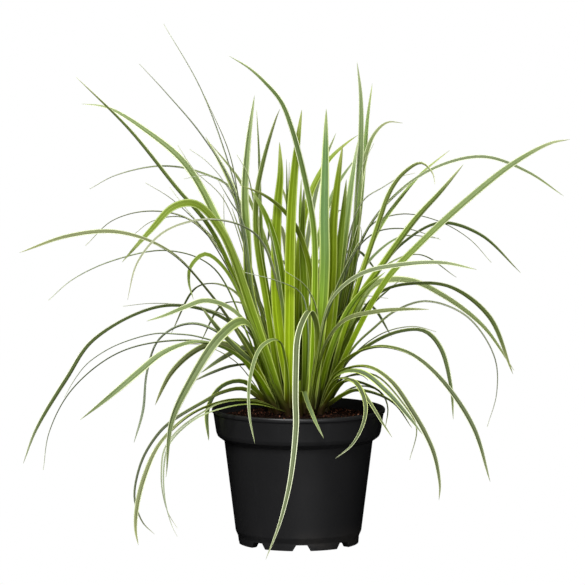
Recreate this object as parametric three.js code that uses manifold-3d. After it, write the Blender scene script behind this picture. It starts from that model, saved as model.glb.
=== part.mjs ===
// A carex sedge in its nursery pot: one plastic pot, the peat and bark mix in it, and the leafy shoots.
// Millimetres, +Z up. The origin is on the pot's axis, on the surface that it stands on; the front is -Y.
import * as THREE from 'three';
import { mergeVertices } from 'three/addons/utils/BufferGeometryUtils.js';
import Module from 'manifold-3d';

// Driving dimensions of the pot.
const POT_HEIGHT = 149;
const RIM_RADIUS = 95;
const FOOT_RADIUS = 66;
const POT_SIDES = 36;
const FLOOR_LOW = 7.5;
const FLOOR_HIGH = 9.5;
const FOOT_RING_WIDTH = 9;
const CENTRE_PAD_RADIUS = 16;
const DRAIN = { count: 8, top: 12, bottom: 21, height: 6.6, from: 40, to: 72, turned: 3 };

// The soil keeps this gap to the pot's inner face, and each hole keeps its own to the stem in it.
const SOIL_GAP = 0.4;
const SOIL_SIDES = POT_SIDES / 2;
const SOIL_WALL = { radius: 90.4, height: 136 };
const SOIL_EDGE_HEIGHT = 138;
const SOIL_MOUND_HEIGHT = 145;
const HOLE_GAP = 0.4;

// Driving dimensions of a shoot's stem, the rolled bases of its leaves.
const STEM = { radius: 4.2, topRadius: 1.6, rise: 40, sunk: 14, sides: 8 };
const ROOT_HEIGHT = 147;
const ROOT_START = 4;
const ROOT_STEP = 2.5;

// Driving dimensions of a blade: how thick it is at the keel, and how deep its fold is for its width.
const BLADE_THICKNESS = 0.9;
const FOLD_AT_ROOT = 0.34;
const FOLD_AT_TIP = 0.16;
const SEGMENT = { length: 140, bend: 22, fewest: 3 };
const BEND_STEPS = 24;
const CLEARANCE = 0.3;

// A blade that would touch another shoot is swung about its root by the first of these degrees that clears.
const SWINGS = [0, 2, -2, 4, -4, 6, -6, 9, -9, 12, -12, 16, -16, 20, -20, 25, -25, 30, -30];

// The table draws the leaves close to one upright plane. They are grown deeper, so each point's way from its
// root to the front or the back is this many times the drawn one.
const DEPTH = 1.6;

// Seen from the front at eye level, a point keeps its place as it is grown deeper: what comes forward comes
// in to the middle by its share of the eye's distance, and hangs lower by this share of its way forward. The
// table is drawn with one share for all, and the leaves are grown with one that falls off with height.
const EYE_DISTANCE = 6100;
const DROP = { drawn: 0.146, low: 0.158, perHeight: 0.000164 };

const RAD = Math.PI / 180;
const UP = new THREE.Vector3(0, 0, 1);

/**
 * A leaf: its greatest width, the degrees by which its upper face is turned to the front (one number, or one
 * at the root and one at the tip), and the way of its midrib from the root on, as [x, y, z] points.
 */
const leaf = (width, turn, ...way) => ({ width, turn, way });

// The shoots, each with the [x, y] place of its root and its leaves.
const SHOOTS = [
  {
    foot: [-23, -22],
    leaves: [
      leaf(10.5, [45, 105], [-42, -32, 208], [-60, -44, 249], [-85, -60, 236], [-117, -76, 190],
        [-138, -87, 145], [-143, -95, 86]),
      leaf(8, [-25, 80], [-50, -30, 159], [-82, -38, 160], [-118, -45, 146], [-150, -51, 115],
        [-166, -55, 82], [-175, -58, 49], [-177, -59, 22], [-174, -60, 5]),
      leaf(7.5, 50, [-46, -32, 222], [-70, -42, 260], [-101, -54, 274], [-123, -61, 268], [-145, -68, 260],
        [-164, -74, 255]),
      leaf(9, [-20, 115], [-52, -36, 196], [-80, -47, 220], [-107, -56, 228], [-129, -63, 225],
        [-150, -69, 216], [-172, -73, 199], [-193, -78, 182], [-236, -86, 148]),
      leaf(7.5, [-10, 90], [-54, -30, 212], [-97, -44, 281], [-140, -56, 328], [-196, -66, 351],
        [-250, -74, 348], [-301, -80, 331]),
    ],
  },
  {
    foot: [-11, -30],
    leaves: [
      leaf(4.5, 30, [-14, -36, 200], [-22, -46, 229], [-41, -62, 224], [-53, -82, 190], [-53, -97, 155],
        [-47, -107, 125]),
      leaf(2.8, 15, [-48, -38, 161], [-85, -54, 161], [-102, -60, 153], [-131, -70, 133], [-145, -76, 113],
        [-148, -80, 90], [-147, -82, 69], [-141, -84, 45], [-131, -86, 28]),
      leaf(2.6, 15, [-46, -42, 158], [-80, -60, 157], [-112, -72, 146], [-139, -82, 121], [-145, -86, 98],
        [-144, -90, 60], [-137, -93, 33], [-131, -95, 20]),
      leaf(11.5, -25, [-10, -38, 260], [-9, -44, 342], [-6, -48, 398], [-2, -52, 440], [3.5, -56, 484]),
    ],
  },
  {
    foot: [1, -33],
    leaves: [
      leaf(5.5, 0, [4, -43, 168], [6, -60, 174], [10, -82, 165], [19, -101, 146], [27, -112, 132]),
    ],
  },
  {
    foot: [13, -30],
    leaves: [
      leaf(12, -25, [25, -34, 250], [28.5, -38, 314], [28, -42, 366], [29, -46, 426], [30, -50, 484]),
      leaf(7, -50, [17, -36, 250], [17, -43, 345], [9, -53, 398], [-7, -66, 464], [-19, -70, 495],
        [-36, -73, 516], [-53, -75, 532], [-75, -77, 546]),
      leaf(8, 50, [22, -42, 210], [36, -62, 274], [68, -82, 307], [110, -98, 320], [155, -108, 324],
        [191, -116, 318]),
      leaf(8.5, 40, [30, -40, 222], [52, -50, 252], [84, -58, 262], [114, -64, 266], [141, -68, 267]),
      leaf(3.9, 20, [20, -36, 228], [18, -42, 267], [6, -48, 291], [-15, -52, 307]),
      leaf(7, 0, [20, -38, 218], [19, -46, 247], [13, -56, 262], [5, -72, 254], [-1, -86, 236],
        [-2.5, -98, 210], [-3, -112, 173], [-2.5, -124, 146], [-9, -142, 88], [-20, -154, 44],
        [-35, -162, 5]),
    ],
  },
  {
    foot: [24, -22],
    leaves: [
      leaf(8, [0, 65], [48, -30, 202], [82, -38, 220], [110, -45, 218], [132, -49, 207], [160, -54, 180],
        [190, -60, 134], [208, -64, 76]),
      leaf(7, [0, 60], [42, -33, 190], [73, -46, 200], [99, -56, 186], [122, -64, 155], [137, -69, 130],
        [147, -73, 107], [153, -78, 74], [152, -80, 58]),
      leaf(5.2, 30, [46, -40, 182], [62, -54, 184], [73, -74, 162], [69, -88, 140], [57, -98, 121],
        [40, -103, 108]),
      leaf(4.4, 20, [40, -38, 184], [60, -52, 185], [76, -68, 166], [91, -80, 143], [101, -88, 129]),
      leaf(7, 35, [42, -34, 188], [68, -46, 194], [96, -58, 174], [118, -66, 150], [134, -72, 130]),
      leaf(7, -35, [50, -26, 166], [62, -30, 171], [83, -38, 169], [104, -45, 159], [123, -51, 134]),
    ],
  },
  {
    foot: [-29, -6],
    leaves: [
      leaf(7.5, [-15, -100], [-58, -8, 222], [-88, -12, 251], [-148, -18, 262], [-222, -26, 227],
        [-252, -30, 185], [-286, -35, 129], [-300, -38, 92]),
      leaf(6.5, -40, [-60, -10, 262], [-95, -16, 345], [-135, -24, 396], [-183, -32, 458], [-240, -40, 517]),
      leaf(4.8, 0, [-50, -4, 196], [-90, 2, 218], [-149, 8, 220], [-201, 14, 205], [-249, 20, 165],
        [-274, 24, 118], [-281, 26, 76]),
      leaf(5.5, -60, [-58, -12, 170], [-84, -18, 167], [-102, -22, 158], [-135, -28, 139], [-151, -30, 125],
        [-169, -34, 97], [-178, -38, 63], [-177, -39, 47], [-169, -41, 27], [-157, -42, 15]),
      leaf(8, [-50, -110], [-52, -14, 194], [-76, -20, 219], [-97, -24, 221], [-118, -28, 211],
        [-138, -32, 192], [-148, -35, 175], [-156, -38, 157]),
      leaf(7, [-40, -100], [-60, -12, 178], [-84, -15, 173], [-99, -18, 148], [-98, -20, 115]),
      leaf(4.2, 0, [-58, -10, 262], [-100, -16, 342], [-120, -20, 365], [-141, -24, 384], [-166, -28, 400]),
      leaf(4.2, 0, [-58, -12, 235], [-94, -18, 306], [-141, -26, 325], [-200, -36, 316], [-245, -44, 296],
        [-271, -48, 274]),
      leaf(2.6, 0, [-63, -9, 195], [-76, -10, 206], [-90, -11, 214], [-103, -12, 219], [-119, -13, 221]),
    ],
  },
  {
    foot: [-17, -10],
    leaves: [
      leaf(10.5, [85, 48], [-50, -18, 252], [-84, -26, 345], [-112, -33, 377], [-135, -38, 375],
        [-160, -43, 350], [-191, -48, 316]),
      leaf(7, -10, [-34, -16, 262], [-46, -20, 343], [-45, -24, 388], [-37, -28, 428], [-25, -32, 469],
        [-20, -36, 482]),
      leaf(6.5, [40, 70], [-54, -22, 250], [-83, -28, 308], [-102, -31, 322], [-117, -33, 309],
        [-119, -34, 292], [-114, -36, 273]),
      leaf(7, -60, [-53, -19, 200], [-70, -20, 217], [-87, -20, 235], [-97, -20, 248], [-109, -20, 264]),
      leaf(6, 0, [-50, -12, 255], [-70, -12, 387], [-104, -10, 447], [-145, -6, 496], [-173, -2, 526]),
      leaf(6.5, 0, [-49, -14, 268], [-62, -18, 357], [-74, -22, 378], [-87, -26, 402]),
    ],
  },
  {
    foot: [-6, -15],
    leaves: [
      leaf(9, -60, [-14, -20, 250], [-23, -26, 325], [-37, -32, 368], [-53, -36, 396]),
      leaf(6, 10, [-20, -26, 270], [-46, -42, 344], [-94, -60, 364], [-144, -76, 353], [-173, -86, 321],
        [-184, -90, 281]),
      leaf(12.5, -10, [-23.5, -20, 250], [-25, -24, 332], [-23, -27, 377], [-20, -30, 410],
        [-20.5, -32, 445]),
      leaf(3.9, 0, [-9, -22, 260], [-12, -26, 350], [-13, -28, 426]),
    ],
  },
  {
    foot: [7, -16],
    leaves: [
      leaf(6.5, -60, [15, -20, 230], [14, -26, 295], [3, -30, 339], [-8, -32, 360], [-22, -34, 376],
        [-40, -36, 389], [-64, -38, 399]),
      leaf(8.5, 0, [8, -22, 250], [4, -26, 330], [6, -30, 395]),
      leaf(3.2, 10, [10, -24, 240], [2, -34, 280], [-22, -42, 294], [-58, -50, 305]),
    ],
  },
  {
    foot: [19, -11],
    leaves: [
      leaf(11, -30, [31, -16, 232], [37, -22, 302], [38, -27, 354], [43, -31, 405], [48, -34, 443]),
      leaf(9, -60, [35, -14, 230], [44, -18, 320], [50, -20, 380], [52, -22, 403]),
      leaf(7.5, -50, [36, -18, 215], [56, -24, 262], [75, -30, 286], [94, -34, 303]),
    ],
  },
  {
    foot: [30, -6],
    leaves: [
      leaf(10, [45, 75], [56, -12, 213], [97, -20, 291], [132, -26, 331], [181, -34, 379], [233, -42, 423],
        [272, -48, 446], [293, -52, 451]),
      leaf(9, [10, -100], [52, -6, 224], [90, -8, 276], [132, -10, 286], [168, -12, 281], [208, -14, 250],
        [234, -16, 188]),
      leaf(9, [-35, -75], [60, -10, 257], [95, -14, 312], [128, -18, 359], [155, -22, 390], [179, -26, 420]),
      leaf(7, [-30, -70], [52, -8, 237], [84, -12, 342], [101, -16, 391], [116, -20, 411], [133, -24, 421],
        [145, -28, 411], [148, -32, 399]),
      leaf(8, -35, [46, 0, 190], [80, 6, 217], [111, 10, 230], [138, 13, 230], [155, 15, 212],
        [167, 18, 168], [170, 20, 133]),
      leaf(4.5, 20, [58, -4, 211], [84, -2, 237], [107, 0, 255], [140, 2, 265], [184, 4, 248], [214, 6, 204],
        [217, 8, 164], [207, 10, 126]),
      leaf(6.5, -30, [50, -10, 178], [61, -13, 179], [83, -18, 172], [92, -20, 165], [97, -22, 152],
        [95, -23, 131]),
      leaf(3.9, -30, [50, -2, 165], [62, 0, 171], [73, 0, 172], [84, 0, 169], [93, 0, 163]),
      leaf(3.9, -20, [48, -8, 181], [58, -10, 185], [69, -12, 186], [76, -14, 181]),
      leaf(3.9, 0, [54, -10, 200], [90, -16, 232], [125, -20, 241], [150, -24, 236]),
    ],
  },
  {
    foot: [-23, 9],
    leaves: [
      leaf(10, [60, 30], [-52, 12, 258], [-89, 18, 351], [-124, 23, 412], [-168, 28, 449], [-209, 32, 473],
        [-237, 36, 477]),
      leaf(7, [-20, 100], [-48, 16, 196], [-92, 26, 229], [-114, 31, 236], [-136, 36, 231], [-155, 40, 215],
        [-166, 44, 182], [-171, 49, 139], [-182, 54, 102]),
      leaf(7.5, 60, [-42, 12, 205], [-59, 14, 212], [-82, 18, 201], [-107, 22, 184]),
      leaf(5.4, 0, [-50, 10, 250], [-85, 18, 317], [-121, 26, 352], [-163, 32, 360], [-204, 38, 349],
        [-234, 42, 321]),
      leaf(4, 0, [-52, 14, 200], [-109, 22, 223], [-136, 25, 226], [-158, 27, 226], [-197, 33, 214],
        [-219, 36, 202], [-235, 39, 189], [-249, 41, 170], [-258, 42, 154]),
      leaf(2.9, 0, [-52, 14, 225], [-76, 18, 245], [-110, 24, 256], [-160, 32, 259], [-193, 38, 255]),
      leaf(3.5, 0, [-50, 8, 262], [-66, 2, 380], [-76, -2, 430], [-102, -8, 492]),
      leaf(2.6, 0, [-60, 10, 270], [-95, 20, 332], [-120, 24, 360], [-141, 28, 387]),
    ],
  },
  {
    foot: [-11, 4],
    leaves: [
      leaf(10, 60, [-52, -1, 268], [-57, 0, 338], [-59, 2, 386], [-55, 6, 440], [-48, 10, 490]),
      leaf(5.5, 0, [-34, 0, 280], [-50, -4, 380], [-56, -6, 407], [-67, -8, 428]),
      leaf(2.6, 0, [-52, 8, 290], [-82, 12, 376], [-114, 14, 408], [-132, 14, 435]),
      leaf(3.9, 0, [-52, 2, 288], [-78, 4, 393], [-100, 6, 403], [-125, 8, 399]),
      leaf(2.6, 0, [-52, 10, 280], [-66, 14, 366], [-84, 16, 399], [-100, 18, 417], [-118, 18, 430]),
    ],
  },
  {
    foot: [1, 1],
    leaves: [
      leaf(8.5, 30, [-2, 8, 260], [4, 14, 340], [14, 20, 382], [32, 26, 415], [53, 30, 435], [65, 34, 443]),
      leaf(3, 0, [-8, 4, 300], [-11, 8, 380], [-10, 10, 417]),
    ],
  },
  {
    foot: [13, 4],
    leaves: [
      leaf(10, 50, [35, 8, 240], [48, 12, 318], [56, 16, 378], [60.5, 18, 410], [65, 20, 439]),
      leaf(2.9, 0, [34, 2, 230], [50, 4, 256], [70, 6, 270], [98, 8, 268]),
      leaf(2.6, 0, [40, 6, 250], [60, 6, 350], [69, 6, 410], [82, 6, 438]),
    ],
  },
  {
    foot: [24, 9],
    leaves: [
      leaf(8.5, 50, [46, 14, 230], [60, 18, 307], [65, 22, 377], [68, 26, 434], [68, 30, 486],
        [64, 34, 523]),
      leaf(8, 40, [44, 14, 240], [62, 20, 335], [70, 24, 403], [82, 28, 443], [97, 32, 457], [114, 36, 456]),
      leaf(7, [-30, 85], [48, 16, 240], [73, 22, 335], [114, 30, 384], [160, 38, 410], [205, 46, 417],
        [252, 52, 400], [292, 58, 373]),
      leaf(9.5, 45, [52, 12, 216], [82, 16, 280], [120, 20, 285], [156, 24, 269], [202, 28, 234],
        [237, 32, 185]),
      leaf(6.5, -45, [58, 14, 238], [94, 20, 302], [116, 26, 326], [155, 36, 346], [200, 46, 332],
        [245, 56, 289]),
      leaf(6, -40, [54, 10, 226], [79, 12, 258], [112, 14, 288]),
      leaf(5, -20, [50, 10, 285], [58, 11, 308], [67, 12, 324], [78, 12, 335], [92, 12, 342], [122, 12, 343],
        [156, 12, 332]),
      leaf(4.5, -20, [46, 12, 230], [60, 14, 290], [68, 16, 325], [69, 18, 340], [65, 20, 351]),
      leaf(5, 0, [44, 12, 255], [58, 14, 343], [72, 16, 375], [92, 18, 388], [112, 18, 400], [127, 18, 404]),
    ],
  },
  {
    foot: [-17, 24],
    leaves: [
      leaf(6, 10, [-50, 33, 265], [-70, 40, 378], [-108, 46, 400], [-152, 54, 406], [-202, 60, 395],
        [-230, 64, 380]),
      leaf(3.2, 0, [-51, 32, 270], [-65, 40, 365], [-83, 46, 428], [-109, 52, 494], [-148, 58, 561]),
      leaf(5, [-20, -80], [-48, 28, 189], [-70, 32, 190], [-95, 36, 182], [-116, 40, 172]),
      leaf(6.5, 0, [-38, 26, 280], [-43, 30, 376], [-44, 34, 425], [-46, 38, 470]),
      leaf(2.6, 0, [-48, 26, 230], [-74, 28, 306], [-81, 30, 341], [-82, 32, 379]),
      leaf(5, 0, [-50, 30, 240], [-90, 34, 325], [-125, 38, 352], [-160, 42, 348], [-182, 46, 332]),
      leaf(8, 60, [-50, 32, 249], [-60, 38, 344], [-74, 42, 388], [-102, 46, 440]),
    ],
  },
  { foot: [-5, 19], leaves: [] },
  {
    foot: [7, 18],
    leaves: [
      leaf(6, 0, [8, 24, 280], [2, 28, 350], [3, 32, 396]),
    ],
  },
  {
    foot: [18, 23],
    leaves: [
      leaf(7, 40, [48, 30, 250], [65, 38, 344], [72, 44, 413], [76, 48, 460], [81, 52, 497]),
      leaf(6, 40, [52, 28, 240], [86, 34, 335], [112, 40, 373], [136, 46, 400], [166, 52, 424]),
      leaf(3.6, 0, [46, 30, 236], [77, 40, 340], [111, 50, 354], [152, 60, 346], [188, 68, 325],
        [213, 74, 298]),
      leaf(3.9, 10, [50, 20, 178], [82, 18, 182], [115, 14, 150], [129, 10, 125], [122, 6, 90]),
    ],
  },
  { foot: [-6, 35], leaves: [] },
  { foot: [7, 34], leaves: [] },
];

// Leaves grown by rule: short inner ones in every shoot, and long arching ones on the far side's shoots.
const SEED = 20260;
const INNER = { count: 1, lean: [3, 12], length: [110, 230], droop: [4, 20], width: [5, 7.5] };
const FAR = { count: 3, lean: [8, 30], length: [260, 400], droop: [60, 150], width: [4.5, 7], fan: 62 };
const FAR_SIDE = 15;
const RULE_POINTS = 4;
const RULE_STEPS = 24;

/** A repeatable stream of numbers from 0 to 1. */
function makeDraw(seed) {
  let state = seed;
  return () => {
    state = (state * 1664525 + 1013904223) % 4294967296;
    return state / 4294967296;
  };
}

/** A leaf that leaves its root at a lean from upright, towards a heading, and droops more and more. */
function leafByRule(foot, heading, kind, draw) {
  const pick = ([low, high]) => low + (high - low) * draw();
  const lean = pick(kind.lean);
  const length = pick(kind.length);
  const droop = pick(kind.droop);
  const width = pick(kind.width);
  const step = length / RULE_STEPS;
  const way = [];
  let reach = 0;
  let height = ROOT_HEIGHT;
  for (let i = 1; i <= RULE_STEPS; i += 1) {
    const tilt = (lean + droop * ((i - 0.5) / RULE_STEPS) ** 1.4) * RAD;
    reach += step * Math.sin(tilt);
    height += step * Math.cos(tilt);
    if (i % (RULE_STEPS / RULE_POINTS) === 0) {
      const deep = (reach * Math.sin(heading)) / DEPTH;
      way.push([foot[0] + reach * Math.cos(heading), foot[1] + deep, height]);
    }
  }
  return leaf(width, 0, ...way);
}

/** The leaves that a shoot gets by rule, drawn in order from the one stream. */
function leavesByRule(foot, draw) {
  const leaves = [];
  const outward = Math.atan2(foot[1], foot[0]);
  for (let i = 0; i < INNER.count; i += 1) {
    leaves.push(leafByRule(foot, outward + (draw() - 0.5) * Math.PI, INNER, draw));
  }
  if (foot[1] > FAR_SIDE) {
    for (let i = 0; i < FAR.count; i += 1) {
      const fan = (i + 0.5) / FAR.count - 0.5;
      const heading = (90 - FAR.fan * fan + (foot[0] < 0 ? 8 : -8) + 12 * (draw() - 0.5)) * RAD;
      leaves.push(leafByRule(foot, heading, FAR, draw));
    }
  }
  return leaves;
}

/** A closed mesh through rings of equally many points, drawn in to a tip or capped flat at its end. */
function loft(rings, tip) {
  const sides = rings[0].length;
  const points = rings.flat();
  const faces = [];
  for (let i = 0; i + 1 < rings.length; i += 1) {
    for (let j = 0; j < sides; j += 1) {
      const a = i * sides + j;
      const b = i * sides + ((j + 1) % sides);
      const c = a + sides;
      const d = b + sides;
      // The two halves of a ring split the other way round, so both faces of a thin blade fold alike.
      if (j < sides / 2) faces.push(a, b, d, a, d, c);
      else faces.push(a, b, c, b, d, c);
    }
  }
  for (let j = 1; j + 1 < sides; j += 1) faces.push(0, j + 1, j);
  const last = (rings.length - 1) * sides;
  if (tip) {
    points.push(tip);
    for (let j = 0; j < sides; j += 1) faces.push(last + j, last + ((j + 1) % sides), points.length - 1);
  } else {
    for (let j = 1; j + 1 < sides; j += 1) faces.push(last, last + j, last + j + 1);
  }
  const geometry = new THREE.BufferGeometry();
  geometry.setFromPoints(points);
  geometry.setIndex(faces);
  return geometry;
}

const wasm = await Module();
wasm.setup();

/** A closed geometry as a solid that can be joined and cut. */
function solidOf(geometry) {
  const bare = geometry.clone();
  bare.deleteAttribute('normal');
  bare.deleteAttribute('uv');
  const merged = mergeVertices(bare, 1e-4);
  return new wasm.Manifold(
    new wasm.Mesh({
      numProp: 3,
      vertProperties: merged.attributes.position.array,
      triVerts: new Uint32Array(merged.index.array),
    }),
  );
}

/** A solid as a geometry. */
function geometryOf(solid) {
  const mesh = solid.getMesh();
  const geometry = new THREE.BufferGeometry();
  geometry.setAttribute('position', new THREE.BufferAttribute(mesh.vertProperties, 3));
  geometry.setIndex(new THREE.BufferAttribute(mesh.triVerts, 1));
  geometry.computeVertexNormals();
  return geometry;
}

/** A named mesh of a solid. */
function meshOf(name, solid, material) {
  const mesh = new THREE.Mesh(geometryOf(solid), material);
  mesh.name = name;
  return mesh;
}

/** A solid turned about Z from a closed profile of [radius, height] points. */
function turned(profile, sides) {
  const geometry = new THREE.LatheGeometry(profile.map(([r, z]) => new THREE.Vector2(r, z)), sides);
  geometry.rotateX(Math.PI / 2);
  return solidOf(geometry);
}

// The pot's outer face from its foot to its lip, and its inner face from the floor up to the lip.
const POT_OUTSIDE = [
  [FOOT_RADIUS, 0],
  [FOOT_RADIUS + 0.4, 8],
  [69, 14],
  [81.4, 113.5],
  [84.6, 115.6],
  [88.6, 118.6],
  [90.2, 122.6],
  [93.4, 143.6],
  [RIM_RADIUS - 0.2, 144.6],
  [RIM_RADIUS, 147.6],
  [RIM_RADIUS - 1, POT_HEIGHT],
];
const POT_INSIDE = [
  [65.6, FLOOR_HIGH],
  [67.6, 14.6],
  [79.8, 113.8],
  [86.8, 119.4],
  [88.5, 123],
  [91.4, 145],
  [92.4, POT_HEIGHT],
];

/** One wedge that cuts a drainage notch through the foot ring. */
function drainWedge(turn) {
  const outline = new THREE.Shape();
  outline.moveTo(-DRAIN.bottom / 2, -1);
  outline.lineTo(DRAIN.bottom / 2, -1);
  outline.lineTo(DRAIN.top / 2, DRAIN.height);
  outline.lineTo(-DRAIN.top / 2, DRAIN.height);
  const wedge = new THREE.ExtrudeGeometry(outline, { depth: DRAIN.to - DRAIN.from, bevelEnabled: false });
  wedge.rotateX(Math.PI / 2);
  wedge.translate(0, -DRAIN.from, 0);
  wedge.rotateZ(turn);
  return solidOf(wedge);
}

/** The pot: a turned shell with a raised floor, a centre pad, and notches round its foot. */
function makePot() {
  const inner = FOOT_RADIUS - FOOT_RING_WIDTH;
  const profile = [
    [0, 0],
    [CENTRE_PAD_RADIUS, 0],
    [CENTRE_PAD_RADIUS + 1, FLOOR_LOW],
    [inner, FLOOR_LOW],
    [inner + 1, 0],
    ...POT_OUTSIDE,
    ...POT_INSIDE.toReversed(),
    [0, FLOOR_HIGH],
  ];
  let pot = turned(profile, POT_SIDES);
  for (let i = 0; i < DRAIN.count; i += 1) {
    pot = pot.subtract(drainWedge(((360 / DRAIN.count) * i + DRAIN.turned) * RAD));
  }
  return pot;
}

/** The soil, before its holes: the pot's inside less a small gap, mounded to the middle. */
function makeSoil() {
  const inside = POT_INSIDE.filter(([, z]) => z < SOIL_EDGE_HEIGHT);
  const profile = [
    [0, FLOOR_HIGH + SOIL_GAP],
    ...inside.map(([r, z], i) => [r - SOIL_GAP, i === 0 ? z + SOIL_GAP : z]),
    [SOIL_WALL.radius - SOIL_GAP, SOIL_WALL.height],
    [80, SOIL_EDGE_HEIGHT],
    [62, SOIL_EDGE_HEIGHT + 1.5],
    [44, SOIL_MOUND_HEIGHT - 1.5],
    [20, SOIL_MOUND_HEIGHT],
    [0, SOIL_MOUND_HEIGHT],
  ];
  return turned(profile, SOIL_SIDES);
}

/** A ring of a round stem, level with the ground. */
function stemRing(centre, radius) {
  const ring = [];
  for (let i = 0; i < STEM.sides; i += 1) {
    const spoke = new THREE.Vector3(radius, 0, 0).applyAxisAngle(UP, (2 * Math.PI * i) / STEM.sides);
    ring.push(spoke.add(centre));
  }
  return ring;
}

/** The two rings of an upright peg on a shoot's axis. */
function pegRings(foot, radius, low, high) {
  return [low, high].map((z) => stemRing(new THREE.Vector3(foot[0], foot[1], z), radius));
}

/** The way of a leaf's midrib as a curve from its root, swung about the root and set to its true height. */
function midrib(foot, blade, swing) {
  const root = new THREE.Vector3(foot[0], foot[1], ROOT_HEIGHT);
  const points = blade.way.map(([x, y, z]) => {
    const deep = root.y + (y - root.y) * DEPTH;
    const wide = (x * (EYE_DISTANCE + deep)) / (EYE_DISTANCE + y);
    const point = new THREE.Vector3(wide - root.x, deep - root.y, z).applyAxisAngle(UP, swing * RAD);
    point.x += root.x;
    point.y += root.y;
    point.z += DROP.drawn * y - (DROP.low - DROP.perHeight * z) * point.y;
    return point;
  });
  return new THREE.CatmullRomCurve3([root, ...points], false, 'centripetal');
}

/** How wide a blade is along its length, as a share of its greatest width. */
function widthShare(along) {
  const taper = (1 - along ** 5) ** 0.75;
  const root = Math.min(1, 0.85 + 2 * along);
  return Math.max(taper * root, 0.02);
}

/** The degrees that a blade is turned about its midrib, at a place along it. */
function turnAt(turn, along) {
  const [atRoot, atTip] = Array.isArray(turn) ? turn : [turn, turn];
  return atRoot + (atTip - atRoot) * along ** 2;
}

/** The places along a midrib where a blade has its rings: few where it is straight, more where it bends. */
function ringPlaces(curve, from) {
  const length = curve.getLength();
  const at = (i) => Math.min(1, from + ((1 - from) * i) / BEND_STEPS);
  const measure = [0];
  for (let i = 0; i < BEND_STEPS; i += 1) {
    const bend = curve.getTangentAt(at(i)).angleTo(curve.getTangentAt(at(i + 1))) / RAD;
    measure.push(measure[i] + (length * (at(i + 1) - at(i))) / SEGMENT.length + bend / SEGMENT.bend);
  }
  const total = measure[BEND_STEPS];
  const segments = Math.max(SEGMENT.fewest, Math.round(total));
  const places = [];
  for (let k = 0; k < segments; k += 1) {
    const wanted = (total * k) / segments;
    const i = measure.findIndex((value, index) => measure[index + 1] > wanted);
    places.push(at(i + (wanted - measure[i]) / (measure[i + 1] - measure[i])));
  }
  return places;
}

/** One blade: a shallow V in section, folded along its keel, from inside the stem to its point. */
function makeBlade(foot, blade, swing, start) {
  const curve = midrib(foot, blade, swing);
  const length = curve.getLength();
  const from = (start * Math.max(curve.getTangentAt(0).z ** 2, 0.1)) / length;
  const tip = curve.getPointAt(1);
  const heading = new THREE.Vector3(tip.x - foot[0], tip.y - foot[1], 0).normalize();
  const across = new THREE.Vector3().crossVectors(heading, UP);
  const side = heading.x < 0 ? -1 : 1;
  const rings = ringPlaces(curve, from).map((along) => {
    const centre = curve.getPointAt(along);
    const tangent = curve.getTangentAt(along);
    const flat = across.clone().addScaledVector(tangent, -across.dot(tangent)).normalize();
    flat.applyAxisAngle(tangent, turnAt(blade.turn, along) * side * RAD);
    const upper = new THREE.Vector3().crossVectors(flat, tangent);
    const half = (blade.width * widthShare(along)) / 2;
    const depth = 2 * half * (FOLD_AT_ROOT + (FOLD_AT_TIP - FOLD_AT_ROOT) * along);
    const at = (wide, high) => centre.clone().addScaledVector(flat, wide).addScaledVector(upper, high);
    return [at(-half, depth), at(0, 0), at(half, depth), at(0, -BLADE_THICKNESS)];
  });
  return solidOf(loft(rings, tip));
}

/** The stem of a shoot: a round peg in the soil that leans with its leaves and thins among them. */
function makeStem(foot, leaves) {
  const lean = new THREE.Vector3();
  leaves.forEach((blade) => lean.add(midrib(foot, blade, 0).getPointAt(0.25)));
  lean.divideScalar(leaves.length).sub(new THREE.Vector3(foot[0], foot[1], ROOT_HEIGHT)).normalize();
  const root = new THREE.Vector3(foot[0], foot[1], ROOT_HEIGHT);
  const rings = pegRings(foot, STEM.radius, SOIL_MOUND_HEIGHT - STEM.sunk, ROOT_HEIGHT + 2);
  rings.push(stemRing(root.clone().addScaledVector(lean, STEM.rise * 0.5), STEM.radius * 0.75));
  rings.push(stemRing(root.clone().addScaledVector(lean, STEM.rise), STEM.topRadius));
  return solidOf(loft(rings));
}

/** What is cut from the soil for a stem: its peg, wider and deeper by the gap, and open to the air. */
function makeHole(foot) {
  const low = SOIL_MOUND_HEIGHT - STEM.sunk - HOLE_GAP;
  return solidOf(loft(pegRings(foot, STEM.radius + HOLE_GAP, low, POT_HEIGHT)));
}

/** Whether a solid keeps clear of every other one. */
const isClear = (solid, others) => others.every((other) => solid.minGap(other, 2 * CLEARANCE) >= CLEARANCE);

/** Solids fused to one body; a hollow that the fusing seals is filled, and a loose scrap is left out. */
function fuse(solids) {
  const whole = solids.reduce((sum, solid) => sum.add(solid));
  const bodies = whole.decompose().filter((body) => body.volume() > 0);
  return bodies.reduce((best, body) => (body.volume() > best.volume() ? body : best));
}

/** The first swing of a blade that clears all that stands already, or nothing. */
function clearBlade(foot, blade, start, others) {
  for (const swing of SWINGS) {
    const solid = makeBlade(foot, blade, swing, start);
    if (isClear(solid, others)) return solid;
  }
  return null;
}

const potMaterial = new THREE.MeshStandardMaterial({ color: 0x232326, roughness: 0.55, metalness: 0 });
const soilMaterial = new THREE.MeshStandardMaterial({ color: 0x2a1a16, roughness: 0.95, metalness: 0 });
const leafMaterial = new THREE.MeshStandardMaterial({ color: 0x7c9a5a, roughness: 0.5, metalness: 0 });

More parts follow.
